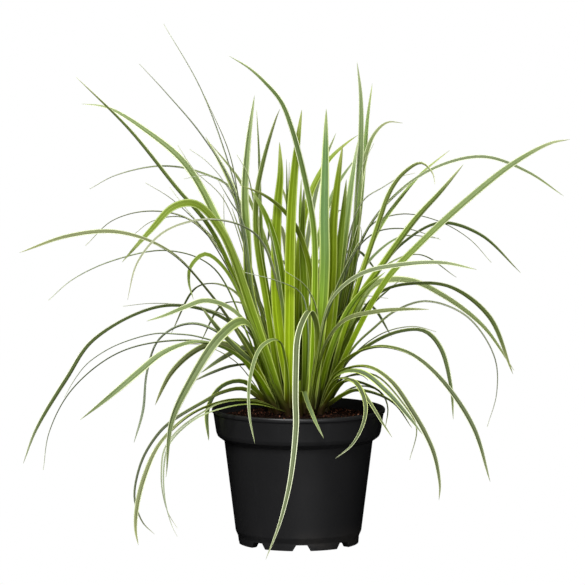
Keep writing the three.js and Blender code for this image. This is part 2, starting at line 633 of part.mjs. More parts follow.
/** The whole plant in its pot. */
function makeSedge() {
  const sedge = new THREE.Group();
  const draw = makeDraw(SEED);
  const pot = makePot();
  let soil = makeSoil();
  const shoots = SHOOTS.map(({ foot, leaves }, index) => ({
    name: `shoot_${String(index + 1).padStart(2, '0')}`,
    foot,
    leaves,
    extra: leavesByRule(foot, draw),
    solids: [],
  }));
  shoots.forEach((shoot) => {
    soil = soil.subtract(makeHole(shoot.foot));
    shoot.solids.push(makeStem(shoot.foot, [...shoot.leaves, ...shoot.extra]));
  });
  const grow = (shoot, blade, index) => {
    const others = shoots.filter((other) => other !== shoot).flatMap((other) => other.solids);
    const start = ROOT_START + ROOT_STEP * (index % 3);
    const solid = clearBlade(shoot.foot, blade, start, [pot, soil, ...others]);
    if (solid) shoot.solids.push(solid);
  };
  shoots.forEach((shoot) => shoot.leaves.forEach((blade, index) => grow(shoot, blade, index)));
  shoots.forEach((shoot) => shoot.extra.forEach((blade, index) => grow(shoot, blade, index)));
  sedge.add(meshOf('pot', pot, potMaterial), meshOf('soil', soil, soilMaterial));
  shoots.forEach((shoot) => {
    sedge.add(meshOf(shoot.name, fuse(shoot.solids), leafMaterial));
  });
  return sedge;
}

export default makeSedge();
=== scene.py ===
"""A carex sedge in its nursery pot: the pot, the peat and bark that fill it, and the leafy shoots.

Sizes are written in millimetres and built in metres, +Z up, with the front at -Y. The shoots stand
where the frame has them, and each blade keeps the midrib, the width and the fold that it has there.
"""

import logging
import math
import random
from bisect import bisect_right
from dataclasses import dataclass
from enum import Enum
from typing import Callable, Iterator, Sequence

import bmesh
import bpy
from mathutils import Matrix, Vector, noise
from mathutils.kdtree import KDTree


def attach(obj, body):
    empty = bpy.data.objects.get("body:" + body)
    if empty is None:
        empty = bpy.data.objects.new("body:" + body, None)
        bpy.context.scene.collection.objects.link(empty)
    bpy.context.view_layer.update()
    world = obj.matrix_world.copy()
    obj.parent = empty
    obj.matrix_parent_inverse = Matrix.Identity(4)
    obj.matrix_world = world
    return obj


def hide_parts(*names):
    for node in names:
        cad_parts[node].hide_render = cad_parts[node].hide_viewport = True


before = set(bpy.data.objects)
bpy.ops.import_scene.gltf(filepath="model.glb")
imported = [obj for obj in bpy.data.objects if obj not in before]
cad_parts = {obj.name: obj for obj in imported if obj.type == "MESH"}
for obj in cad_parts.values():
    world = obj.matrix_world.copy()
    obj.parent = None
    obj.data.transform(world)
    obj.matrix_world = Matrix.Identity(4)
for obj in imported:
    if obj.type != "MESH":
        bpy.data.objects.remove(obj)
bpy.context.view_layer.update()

MM = 0.001
SEED = 20260
BODY = "root"
IMAGE_SIZE = 585
UP = Vector((0, 0, 1))
MERGE_DISTANCE = 1e-6
ROUNDING_REACH = 0.45
ROUNDING_STEPS = (0.0, 0.33, 0.67, 1.0)

Colour = tuple[float, float, float, float]
Point = tuple[float, float, float]
Pair = tuple[float, float]

log = logging.getLogger("sedge")


def colour(code: str, alpha: float = 1.0) -> Colour:
    """Turns a colour code into a linear colour.

    Args:
        code: Six hexadecimal digits, red, green and blue.
        alpha: The fourth value of the colour.

    Returns:
        The linear red, green and blue, and the alpha.
    """
    parts = [int(code[i:i + 2], 16) / 255 for i in (0, 2, 4)]
    red, green, blue = [p / 12.92 if p <= 0.04045 else ((p + 0.055) / 1.055) ** 2.4 for p in parts]
    return red, green, blue, alpha


def blend(share: float, first: Colour, second: Colour) -> Colour:
    """Mixes two colours, from the first at a share of 0 to the second at 1."""
    red, green, blue, alpha = [a + (b - a) * share for a, b in zip(first, second)]
    return red, green, blue, alpha


def ease(value: float, low: float, high: float) -> float:
    """Gives 0 below low, 1 above high, and a smooth step between them."""
    share = min(1.0, max(0.0, (value - low) / (high - low)))
    return share * share * (3 - 2 * share)


def operator(operation: str, swapped: bool = False) -> Callable[..., "Value"]:
    """Makes an operator of Value.

    Args:
        operation: What the node works out.
        swapped: Whether the value comes last, as in a number less a value.

    Returns:
        The operator.
    """
    def work_out(value: "Value", *others: "Value | float") -> "Value":
        """Adds the node."""
        return value.graph.maths(operation, *((*others, value) if swapped else (value, *others)))

    return work_out


class Value:
    """An output of a node that takes part in sums: each operator adds a Math node to its graph."""

    __add__, __radd__ = operator("ADD"), operator("ADD", swapped=True)
    __sub__, __rsub__ = operator("SUBTRACT"), operator("SUBTRACT", swapped=True)
    __mul__, __rmul__ = operator("MULTIPLY"), operator("MULTIPLY", swapped=True)
    __pow__ = operator("POWER")
    __abs__ = operator("ABSOLUTE")
    sign = operator("SIGN")

    def __init__(self, graph: "Graph", socket: bpy.types.NodeSocket) -> None:
        """Keeps the output socket and the graph that new nodes go into."""
        self.graph = graph
        self.socket = socket


Input = Value | float | int | bool | str | Sequence[float] | bpy.types.ID


class Graph:
    """A node tree that is being built, of a material, a world or a Geometry Nodes modifier."""

    def __init__(self, tree: bpy.types.NodeTree) -> None:
        """Empties the tree, which is then built in."""
        self.tree = tree
        tree.nodes.clear()

    def node(
        self,
        kind: str,
        inputs: dict[str | int, Input] | None = None,
        output: str | int = 0,
        **settings: object,
    ) -> Value | None:
        """Adds a node.

        Args:
            kind: The type of the node.
            inputs: The value or link of each socket, by the socket's name, identifier or number.
            output: The output that is wanted, by name, identifier or number.
            settings: Its own settings, which are set first. "stops" gives the stops of a ramp.

        Returns:
            The wanted output, or None where the node has no output.
        """
        made = self.tree.nodes.new(kind)
        for name, value in settings.items():
            if name == "stops":
                self.set_stops(made.color_ramp, value)
            else:
                setattr(made, name, value)
        for key, value in (inputs or {}).items():
            socket = self.find(made.inputs, key)
            if isinstance(value, Value):
                self.tree.links.new(value.socket, socket)
            else:
                socket.default_value = value
        return Value(self, self.find(made.outputs, output)) if made.outputs else None

    @staticmethod
    def find(sockets: Sequence[bpy.types.NodeSocket], key: str | int) -> bpy.types.NodeSocket:
        """Finds a socket.

        Args:
            sockets: The inputs or the outputs of a node.
            key: The socket's number, identifier or name.

        Returns:
            The socket.
        """
        if isinstance(key, int):
            return sockets[key]
        named = [s for s in sockets if s.name == key and s.enabled]
        exact = [s for s in sockets if s.identifier == key]
        return (named + exact)[0]

    @staticmethod
    def set_stops(ramp: bpy.types.ColorRamp, stops: Sequence[tuple[float, Colour]]) -> None:
        """Sets the stops of a colour ramp.

        Args:
            ramp: The ramp, which has two stops when it is new.
            stops: The place and the colour of each stop.
        """
        while len(ramp.elements) < len(stops):
            ramp.elements.new(1.0)
        for element, (place, value) in zip(ramp.elements, stops):
            element.position = place
            element.color = value

    def maths(self, operation: str, *values: Value | float) -> Value:
        """Adds a Math node with these inputs."""
        return self.node("ShaderNodeMath", dict(enumerate(values)), operation=operation)

    def step(self, value: Value, low: float, high: float) -> Value:
        """Adds a smooth step.

        Args:
            value: The value to judge.
            low: Where the step starts.
            high: Where the step ends, above or below low.

        Returns:
            0 at low and before it, 1 at high and past it.
        """
        rising = high > low
        inputs = {"Value": value, "From Min": min(low, high), "From Max": max(low, high)}
        inputs |= {"To Min": 0.0 if rising else 1.0, "To Max": 1.0 if rising else 0.0}
        return self.node("ShaderNodeMapRange", inputs, interpolation_type="SMOOTHSTEP")

    def mix(self, share: Value | float, first: Value | Colour, second: Value | Colour) -> Value:
        """Mixes two colours, from the first at a share of 0 to the second at 1."""
        inputs = {"Factor_Float": share, "A_Color": first, "B_Color": second}
        return self.node("ShaderNodeMix", inputs, "Result_Color", data_type="RGBA")

    def either(self, share: Value | float, first: Value, second: Value) -> Value:
        """Mixes two shaders, from the first at a share of 0 to the second at 1."""
        return self.node("ShaderNodeMixShader", {0: share, 1: first, 2: second})

    def ray(self, kind: str) -> Value:
        """Gives 1 for rays of a kind, such as Camera, and 0 for others."""
        return self.node("ShaderNodeLightPath", None, f"Is {kind} Ray")

    def vector(self, x: Value | float, y: Value | float, z: Value | float) -> Value:
        """Puts three numbers together to a vector."""
        return self.node("ShaderNodeCombineXYZ", {"X": x, "Y": y, "Z": z})

    def part(self, vector: Value, axis: str) -> Value:
        """Gives the X, the Y or the Z of a vector."""
        return self.node("ShaderNodeSeparateXYZ", {"Vector": vector}, axis)

    def scaled(self, vector: Value, amount: Value) -> Value:
        """Multiplies a vector by a number."""
        return self.node("ShaderNodeVectorMath", {0: vector, "Scale": amount}, operation="SCALE")

    def sum_of(self, first: Value, second: Value) -> Value:
        """Adds two vectors."""
        return self.node("ShaderNodeVectorMath", {0: first, 1: second}, operation="ADD")

    def noise(self, place: Value, scale: float, detail: float = 3.0, roughness: float = 0.5) -> Value:
        """Adds a noise texture.

        Args:
            place: The vector that it is read at.
            scale: How many times it goes up and down in a metre.
            detail: How many finer layers it has.
            roughness: How strong the finer layers are.

        Returns:
            The noise, from 0 to 1 around one half.
        """
        inputs = {"Vector": place, "Scale": scale, "Detail": detail, "Roughness": roughness}
        return self.node("ShaderNodeTexNoise", inputs)


class Surface(Graph):
    """The nodes of a material."""

    def __init__(self, name: str) -> None:
        """Makes a material of this name.

        Args:
            name: The name of the material.
        """
        self.material = bpy.data.materials.new(name)
        self.material.use_nodes = True
        super().__init__(self.material.node_tree)

    def attribute(self, name: str, output: str = "Fac") -> Value:
        """Reads an attribute of the mesh: Fac for a number, Color for a colour, Alpha for its alpha."""
        return self.node("ShaderNodeAttribute", None, output, attribute_name=name)

    def place(self) -> Value:
        """Gives the place on the object, in metres."""
        return self.node("ShaderNodeTexCoord", None, "Object")

    def solid(self, tint: Value, rough: Value | float, shine: float, height: Value, relief: Pair) -> Value:
        """Adds the shader of a solid surface with fine relief.

        Args:
            tint: Its colour.
            rough: Its roughness.
            shine: How strongly it reflects.
            height: The noise that the relief follows.
            relief: The strength of the relief, and its depth in metres.

        Returns:
            The shader.
        """
        inputs = {"Strength": relief[0], "Distance": relief[1], "Height": height}
        bump = self.node("ShaderNodeBump", inputs)
        inputs = {"Base Color": tint, "Roughness": rough, "Normal": bump, "Specular IOR Level": shine}
        return self.node("ShaderNodeBsdfPrincipled", inputs)

    def finish(self, shader: Value) -> bpy.types.Material:
        """Ends the material with the shader that its surface shows."""
        self.node("ShaderNodeOutputMaterial", {"Surface": shader})
        return self.material


class Maker(Graph):
    """The nodes of a Geometry Nodes tree."""

    def __init__(self, name: str, sockets: dict[str, tuple[str, object]]) -> None:
        """Makes the tree with its inputs.

        Args:
            name: The name of the tree.
            sockets: The kind and the value of each named input after the geometry.
        """
        tree = bpy.data.node_groups.new(name, "GeometryNodeTree")
        super().__init__(tree)
        for side in ("OUTPUT", "INPUT"):
            tree.interface.new_socket("Geometry", in_out=side, socket_type="NodeSocketGeometry")
        self.inputs = {}
        for label, (kind, value) in sockets.items():
            socket = tree.interface.new_socket(label, in_out="INPUT", socket_type="NodeSocket" + kind)
            self.inputs[socket.identifier] = value
        self.entry = tree.nodes.new("NodeGroupInput")

    def given(self, label: str) -> Value:
        """Gives the value of one of the tree's inputs."""
        return Value(self, self.entry.outputs[label])

    def named(self, label: str, kind: str = "FLOAT") -> Value:
        """Reads a named attribute that holds this kind of value."""
        return self.node("GeometryNodeInputNamedAttribute", {"Name": label}, "Attribute", data_type=kind)

    def store(
        self, geometry: Value, label: str, value: Value, kind: str = "FLOAT", domain: str = "POINT"
    ) -> Value:
        """Stores a named attribute on a geometry.

        Args:
            geometry: The geometry.
            label: The attribute's name.
            value: What it holds.
            kind: The kind of value that it holds.
            domain: What it is stored on, such as points or instances.

        Returns:
            The geometry with the attribute.
        """
        inputs = {"Geometry": geometry, "Name": label, "Value": value}
        return self.node("GeometryNodeStoreNamedAttribute", inputs, data_type=kind, domain=domain)

    def draw(self, kind: str, low: Point | float, high: Point | float, seed: int) -> Value:
        """Draws a value of a kind for each point, between low and high and by the seed."""
        inputs = {"Min": low, "Max": high, "Seed": seed}
        return self.node("FunctionNodeRandomValue", inputs, "Value", data_type=kind)

    def above(self, value: Value, limit: Value | float) -> Value:
        """Tells whether a value is above a limit."""
        return self.node("FunctionNodeCompare", {"A": value, "B": limit}, operation="GREATER_THAN")

    def end(self, geometry: Value, smooth: bool = True) -> None:
        """Ends the tree: what it made becomes plain geometry with the material of its Material input.

        Args:
            geometry: What the tree made.
            smooth: Whether its faces are shaded smooth.
        """
        real = self.node("GeometryNodeRealizeInstances", {"Geometry": geometry})
        shaded = self.node("GeometryNodeSetShadeSmooth", {"Geometry": real, "Shade Smooth": smooth})
        inputs = {"Geometry": shaded, "Material": self.given("Material")}
        dressed = self.node("GeometryNodeSetMaterial", inputs)
        self.node("NodeGroupOutput", {0: dressed})

    def run(self, name: str, mesh: bpy.types.Mesh) -> bpy.types.Object:
        """Runs the tree on a mesh.

        Args:
            name: The name of the new piece.
            mesh: What the tree starts from.

        Returns:
            A new object with a plain mesh.
        """
        start = add_object(name + "_start", mesh)
        modifier = start.modifiers.new("Make", "NODES")
        modifier.node_group = self.tree
        for identifier, value in self.inputs.items():
            modifier[identifier] = value
        made = baked(name, start)
        bpy.data.objects.remove(start)
        return made


def add_object(name: str, data: bpy.types.ID) -> bpy.types.Object:
    """Puts an object into the scene at the origin.

    Args:
        name: The name of the object.
        data: Its mesh, light or camera.

    Returns:
        The object.
    """
    made = bpy.data.objects.new(name, data)
    bpy.context.scene.collection.objects.link(made)
    return made


def baked(name: str, source: bpy.types.Object) -> bpy.types.Object:
    """Applies an object's modifiers to a copy of it.

    Args:
        name: The name of the copy.
        source: The object with its modifiers.

    Returns:
        A new object with a plain mesh.
    """
    depsgraph = bpy.context.evaluated_depsgraph_get()
    mesh = bpy.data.meshes.new_from_object(source.evaluated_get(depsgraph), depsgraph=depsgraph)
    mesh.name = name
    return add_object(name, mesh)


def smoothen(mesh: bpy.types.Mesh) -> None:
    """Shades all faces of a mesh smooth."""
    mesh.polygons.foreach_set("use_smooth", [True] * len(mesh.polygons))


def mesh_of(name: str, points: Sequence[Vector], faces: Sequence[Sequence[int]]) -> bpy.types.Mesh:
    """Makes a mesh from points in millimetres.

    Args:
        name: The name of the mesh.
        points: Its corners, in millimetres.
        faces: The numbers of each face's corners.

    Returns:
        The mesh, with its faces outwards, in metres.
    """
    mesh = bpy.data.meshes.new(name)
    mesh.from_pydata([p * MM for p in points], [], faces)
    work = bmesh.new()
    work.from_mesh(mesh)
    bmesh.ops.remove_doubles(work, verts=work.verts, dist=MERGE_DISTANCE)
    bmesh.ops.recalc_face_normals(work, faces=work.faces)
    work.to_mesh(mesh)
    work.free()
    smoothen(mesh)
    return mesh


def turned(name: str, profile: Sequence[Pair], sides: int) -> bpy.types.Mesh:
    """Turns a profile about the upright axis to a closed mesh.

    Args:
        name: The name of the mesh.
        profile: [radius, height] pairs in millimetres, from the axis round and back to the axis.
        sides: How many faces go round.

    Returns:
        The mesh in metres.
    """
    turns = [2 * math.pi * i / sides for i in range(sides)]
    points = [Vector((r * math.cos(turn), r * math.sin(turn), z)) for r, z in profile for turn in turns]
    faces = []
    for low in range(0, (len(profile) - 1) * sides, sides):
        high = low + sides
        for i in range(sides):
            after = (i + 1) % sides
            faces.append((low + i, low + after, high + after, high + i))
    return mesh_of(name, points, faces)


def rounded(profile: Sequence[Pair], radius: float) -> list[Pair]:
    """Rounds the corners of a profile.

    Args:
        profile: [radius, height] pairs.
        radius: How far from a corner its rounding starts, at most.

    Returns:
        The pairs of the rounded profile.
    """
    places = [Vector(p) for p in profile]
    out = [places[0]]
    for before, corner, after in zip(places, places[1:], places[2:]):
        start, end = [
            corner + way.normalized() * min(radius, way.length * ROUNDING_REACH)
            for way in (before - corner, after - corner)
        ]
        for t in ROUNDING_STEPS:
            out.append(start * (1 - t) ** 2 + corner * 2 * t * (1 - t) + end * t ** 2)
    out.append(places[-1])
    return [(p.x, p.y) for p in out]


def dress(piece: bpy.types.Object, slot: str, *nodes: str) -> None:
    """Ties a finished piece to the frame.

    Args:
        piece: The piece.
        slot: The material slot of the record that its finish belongs to; not used.
        nodes: The CAD nodes that it stands for.
    """
    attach(piece, BODY)
    if nodes:
        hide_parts(*nodes)
    piece.data.calc_loop_triangles()
    log.info("%s: %d triangles", piece.name, len(piece.data.loop_triangles))


@dataclass(frozen=True)
class LeafColours:
    """The colours of a leaf, how strongly it is streaked, and how dark its low part can be among others.

    low_until is how far the low colour reaches from the root. A margin's alpha says how plainly it shows.
    The low part also gets painted shade among other leaves, which gloom or painted_shade sets.
    """

    low: Colour
    upper: Colour
    under: Colour
    margin: Colour
    tip: Colour
    streak: float
    low_until: float
    painted_shade: float

    @classmethod
    def of(
        cls, codes: str, margin: float, streak: float, low_until: float, painted_shade: float = 0.6
    ) -> "LeafColours":
        """Makes the colours from their codes.

        Args:
            codes: The codes of the low part, the upper side, the underside, the margins and the tip.
            margin: How plainly the margins show.
            streak: How strongly the leaf is streaked.
            low_until: How far the low colour reaches.
            painted_shade: How much painted shade the low part can get among other leaves.

        Returns:
            The colours of a leaf.
        """
        low, upper, under, edge, tip = codes.split()
        tints = colour(low), colour(upper), colour(under), colour(edge, margin), colour(tip)
        return cls(*tints, streak, low_until, painted_shade)


class Tone(Enum):
    """The colourings of the leaves."""

    FRESH = LeafColours.of("8aa21e 7a9038 6a7f28 c6d67a a0aa68", 0.55, 0.85, 210, 0.25)
    BRIGHT = LeafColours.of("96b02a 8ea664 76925a dfe8a8 b0b87c", 0.85, 0.6, 150, 0.15)
    # DEEP is the darkest green, with the strongest painted shade low on the leaf.
    DEEP = LeafColours.of("667c16 6c7d2e 4c5c16 b4c080 8c9660", 0.5, 0.7, 210, 0.95)
    DARK = LeafColours.of("74881e 5c6648 4c563b d3d8b8 848c68", 1.0, 0.45, 100)
    GREEN = LeafColours.of("728b16 7a8658 5c6a3e dde2bc 98a070", 0.8, 0.6, 200)
    PALE = LeafColours.of("7a941a 809062 667446 dde3b8 a3aa82", 0.75, 0.6, 200, 0.35)
    CREAM = LeafColours.of("84993a 82905e 626e42 eef0d8 a8ae8a", 1.0, 0.5, 70, 0.3)
    OLIVE = LeafColours.of("76891f 727a58 626c47 ccd3ac 8f9668", 0.9, 0.5, 80)
    GREY = LeafColours.of("6f8030 929a80 757d66 ccd0b2 a6aa8e", 0.7, 0.4, 150, 0.7)


@dataclass(frozen=True)
class LeafFinish:
    """The finish of the blades: ribbed lengthwise, pale at the margins, satin and a little see-through.

    lines and ribs are noises: how fine they are across the blade, along it and from leaf to leaf, and
    their detail. darker and lighter are a saturation and a brightness. The half shade is painted shade:
    how dark the inner half of the fold is painted all along, and how much more at the root. The other
    pairs, each named after a mark, say where the mark starts and where it is full.
    """

    roughness: float = 0.46
    shine: float = 0.12
    relief: Pair = (0.35, 0.0004)
    glow: float = 0.2
    glow_colour: Colour = colour("b4c820")
    lines: tuple[float, float, float, float] = (3.6, 7.0, 7.3, 3.0)
    ribs: tuple[float, float, float, float] = (15.0, 5.0, 3.1, 2.0)
    fine: float = 0.6
    cloud_scale: float = 38.0
    cloud_rough: float = 0.25
    upper_side: Pair = (-0.12, 0.12)
    darker: Pair = (1.1, 0.56)
    lighter: Pair = (1.0, 1.35)
    dark_lines: Pair = (0.6, 0.38)
    light_ribs: Pair = (0.52, 0.7)
    clouds: Pair = (0.35, 0.75)
    cloud_share: float = 0.3
    shaded_half_ends: Pair = (0.1, -0.12)
    shaded_root_ends: Pair = (0.1, 0.03)
    painted_half_shade: Pair = (0.4, 0.5)
    keel: Pair = (0.2, 0.04)
    keel_share: float = 0.5
    rim: Pair = (0.7, 0.82)
    rim_wander: float = 0.14

    def material(self) -> bpy.types.Material:
        """Makes the material from the colours that the blades carry.

        Returns:
            The material.
        """
        leaf = Surface("sedge_leaf")
        across, reach, number = [leaf.attribute(name) for name in ("across", "reach", "number")]
        lines, ribs = [
            leaf.noise(leaf.vector(across * x, reach * y, number * z), 1.0, detail, self.fine)
            for x, y, z, detail in (self.lines, self.ribs)
        ]
        cloud = leaf.noise(leaf.place(), self.cloud_scale, 3.0, self.fine)
        topside = leaf.step(leaf.attribute("skin"), *self.upper_side)
        # The face and back colours carry painted shade and painted light besides the leaf's own colours.
        blade = leaf.mix(topside, leaf.attribute("back", "Color"), leaf.attribute("face", "Color"))
        darker, lighter = [
            leaf.node("ShaderNodeHueSaturation", {"Saturation": full, "Value": bright, "Color": blade})
            for full, bright in (self.darker, self.lighter)
        ]
        streak = leaf.attribute("streak")
        blade = leaf.mix(leaf.step(lines, *self.dark_lines) * streak, blade, darker)
        blade = leaf.mix(leaf.step(ribs, *self.light_ribs) * streak, blade, lighter)
        blade = leaf.mix(leaf.step(cloud, *self.clouds) * self.cloud_share, blade, darker)
        # Painted shade on the inner half of the fold, darker still near the root.
        all_along, at_root = self.painted_half_shade
        shade = all_along + at_root * leaf.step(reach, *self.shaded_root_ends)
        inner = leaf.step(across * leaf.attribute("side"), *self.shaded_half_ends)
        blade = leaf.mix(inner * shade, blade, darker)
        width = abs(across)
        blade = leaf.mix(leaf.step(width, *self.keel) * streak * self.keel_share, blade, lighter)
        rim = leaf.step(width + (lines - 0.5) * self.rim_wander, *self.rim) * leaf.attribute("rim", "Alpha")
        blade = leaf.mix(rim, blade, leaf.attribute("rim", "Color"))
        rough = self.roughness + (cloud - 0.5) * self.cloud_rough
        solid = leaf.solid(blade, rough, self.shine, ribs, self.relief)
        glow = leaf.node("ShaderNodeBsdfTranslucent", {"Color": self.glow_colour})
        return leaf.finish(leaf.either(self.glow, solid, glow))


@dataclass(frozen=True)
class PotFinish:
    """The finish of the pot: moulded black plastic, faintly grained, with dust towards its foot.

    The pairs but relief, each named after a mark, say where the mark starts and where it is full.
    """

    black: Colour = colour("181819")
    worn: Colour = colour("2c2c2e")
    dust: Colour = colour("34302c")
    roughness: float = 0.42
    shine: float = 0.35
    relief: Pair = (0.1, 0.0003)
    grain_scale: float = 900.0
    scuff_scale: Point = (60.0, 60.0, 5.0)
    scuffs: Pair = (0.6, 0.85)
    scuff_share: float = 0.5
    cloud_scale: float = 22.0
    clouds: Pair = (0.4, 0.7)
    foot: Pair = (0.03, 0.004)
    dust_share: float = 0.35
    cloud_rough: float = 0.16
    grain_rough: float = 0.1

    def material(self) -> bpy.types.Material:
        """Makes the material.

        Returns:
            The material.
        """
        pot = Surface("pot_plastic")
        place = pot.place()
        grain = pot.noise(place, self.grain_scale, 2.0)
        flow = pot.node("ShaderNodeMapping", {"Vector": place, "Scale": self.scuff_scale})
        scuffs = pot.step(pot.noise(flow, 1.0, 4.0, 0.7), *self.scuffs)
        cloud = pot.noise(place, self.cloud_scale, 4.0, 0.65)
        dust = pot.step(pot.part(place, "Z"), *self.foot) * pot.step(cloud, *self.clouds)
        tint = pot.mix(scuffs * self.scuff_share, self.black, self.worn)
        tint = pot.mix(dust * self.dust_share, tint, self.dust)
        rough = self.roughness + (cloud - 0.5) * self.cloud_rough + (grain - 0.5) * self.grain_rough
        return pot.finish(pot.solid(tint, rough, self.shine, grain, self.relief))


@dataclass(frozen=True)
class SoilFinish:
    """The finish of the peat: damp dark crumbs with a reddish cast.

    lumps and specks say where on their noise they start and where they are full.
    """

    deep: Colour = colour("080301")
    damp: Colour = colour("160a05")
    fibre: Colour = colour("2e180f")
    roughness: float = 0.92
    shine: float = 0.05
    relief: Pair = (0.8, 0.002)
    lump_scale: float = 160.0
    lumps: Pair = (0.35, 0.65)
    speck_scale: float = 900.0
    specks: Pair = (0.6, 0.75)
    speck_share: float = 0.7
    speck_height: float = 0.3

    def material(self) -> bpy.types.Material:
        """Makes the material.

        Returns:
            The material.
        """
        soil = Surface("peat")
        place = soil.place()
        lumps = soil.noise(place, self.lump_scale, 5.0, 0.7)
        specks = soil.noise(place, self.speck_scale, 2.0, 0.5)
        tint = soil.mix(soil.step(lumps, *self.lumps), self.deep, self.damp)
        tint = soil.mix(soil.step(specks, *self.specks) * self.speck_share, tint, self.fibre)
        height = lumps + specks * self.speck_height
        return soil.finish(soil.solid(tint, self.roughness, self.shine, height, self.relief))


@dataclass(frozen=True)
class BarkFinish:
    """The finish of the loose bits on the peat: dark crumbs, brown bark and a few pinkish chips.

    tints gives the colour of a bit by the tint that it carries, and grain says where on its noise the
    stain starts and where it is full.
    """

    tints: tuple[tuple[float, Colour], ...] = (
        (0.0, colour("080301")), (0.6, colour("140904")), (0.85, colour("2c160e")),
        (0.96, colour("52301f")), (1.0, colour("a06e5a")),
    )
    stain: Colour = colour("140a07")
    roughness: float = 0.85
    shine: float = 0.08
    relief: Pair = (0.5, 0.0005)
    grain_scale: float = 700.0
    grain: Pair = (0.5, 0.7)
    grain_share: float = 0.5

    def material(self) -> bpy.types.Material:
        """Makes the material from the tint that each bit carries.

        Returns:
            The material.
        """
        bark = Surface("bark_bits")
        grain = bark.noise(bark.place(), self.grain_scale, 3.0, 0.6)
        ramp = bark.node("ShaderNodeValToRGB", {"Fac": bark.attribute("tint")}, stops=self.tints)
        tint = bark.mix(bark.step(grain, *self.grain) * self.grain_share, ramp, self.stain)
        return bark.finish(bark.solid(tint, self.roughness, self.shine, grain, self.relief))


@dataclass(frozen=True)
class Pot:
    """The nursery pot: a thin turned shell with a collar, a lip, a foot ring and notches through it."""

    height: float = 149
    rim_radius: float = 95
    foot_radius: float = 66
    foot_ring: float = 9
    pad_radius: float = 16
    floor_low: float = 7.5
    floor_high: float = 9.5
    sides: int = 144
    edge: float = 0.9
    sharp_angle: float = 35
    notches: int = 8
    notch_top: float = 12
    notch_bottom: float = 21
    notch_height: float = 6.6
    notch_reach: Pair = (40, 72)
    notch_turn: float = 3

    def outside(self) -> list[Pair]:
        """Gives the outer face from the foot up to the lip."""
        foot, rim = self.foot_radius, self.rim_radius
        return [
            (foot, 0), (foot + 0.4, 8), (69, 14), (81.4, 113.5), (84.6, 115.6), (88.6, 118.6),
            (90.2, 122.6), (93.4, 143.6), (rim - 0.2, 144.6), (rim, 147.6), (rim - 1, self.height),
        ]

    def inside(self) -> list[Pair]:
        """Gives the inner face from the floor up to the lip."""
        return [
            (65.6, self.floor_high), (67.6, 14.6), (79.8, 113.8), (86.8, 119.4), (88.5, 123),
            (91.4, 145), (92.4, self.height),
        ]

    def shell(self) -> bpy.types.Mesh:
        """Turns the shell, before its notches are cut.

        Returns:
            The mesh of the shell.
        """
        inner = self.foot_radius - self.foot_ring
        profile = [
            (0, 0), (self.pad_radius, 0), (self.pad_radius + 1, self.floor_low), (inner, self.floor_low),
            (inner + 1, 0), *self.outside(), *reversed(self.inside()), (0, self.floor_high),
        ]
        return turned("pot_shell", rounded(profile, self.edge), self.sides)

    def wedges(self) -> bpy.types.Mesh:
        """Makes the wedges that cut the notches.

        Returns:
            One mesh of all the wedges.
        """
        points = []
        faces = []
        low, top = self.notch_bottom / 2, self.notch_top / 2
        outline = ((-low, -1), (low, -1), (top, self.notch_height), (-top, self.notch_height))
        for i in range(self.notches):
            turn = Matrix.Rotation(math.radians(360 / self.notches * i + self.notch_turn), 3, "Z")
            near = len(points)
            far = near + len(outline)
            for reach in self.notch_reach:
                points += [turn @ Vector((x, -reach, z)) for x, z in outline]
            faces += [range(near, far), range(far, far + len(outline))]
            for k in range(len(outline)):
                after = (k + 1) % len(outline)
                faces.append((near + k, near + after, far + after, far + k))
        return mesh_of("pot_wedges", points, faces)

    def build(self, material: bpy.types.Material) -> None:
        """Builds the pot.

        Args:
            material: Its plastic.
        """
        shell = add_object("pot_start", self.shell())
        cutter = add_object("pot_cutter", self.wedges())
        cut = shell.modifiers.new("Notches", "BOOLEAN")
        cut.operation = "DIFFERENCE"
        cut.solver = "EXACT"
        cut.object = cutter
        piece = baked("nursery_pot", shell)
        for spare in (shell, cutter):
            bpy.data.objects.remove(spare)
        smoothen(piece.data)
        piece.data.set_sharp_from_angle(angle=math.radians(self.sharp_angle))
        piece.data.materials.clear()
        piece.data.materials.append(material)
        dress(piece, "pot", "pot")


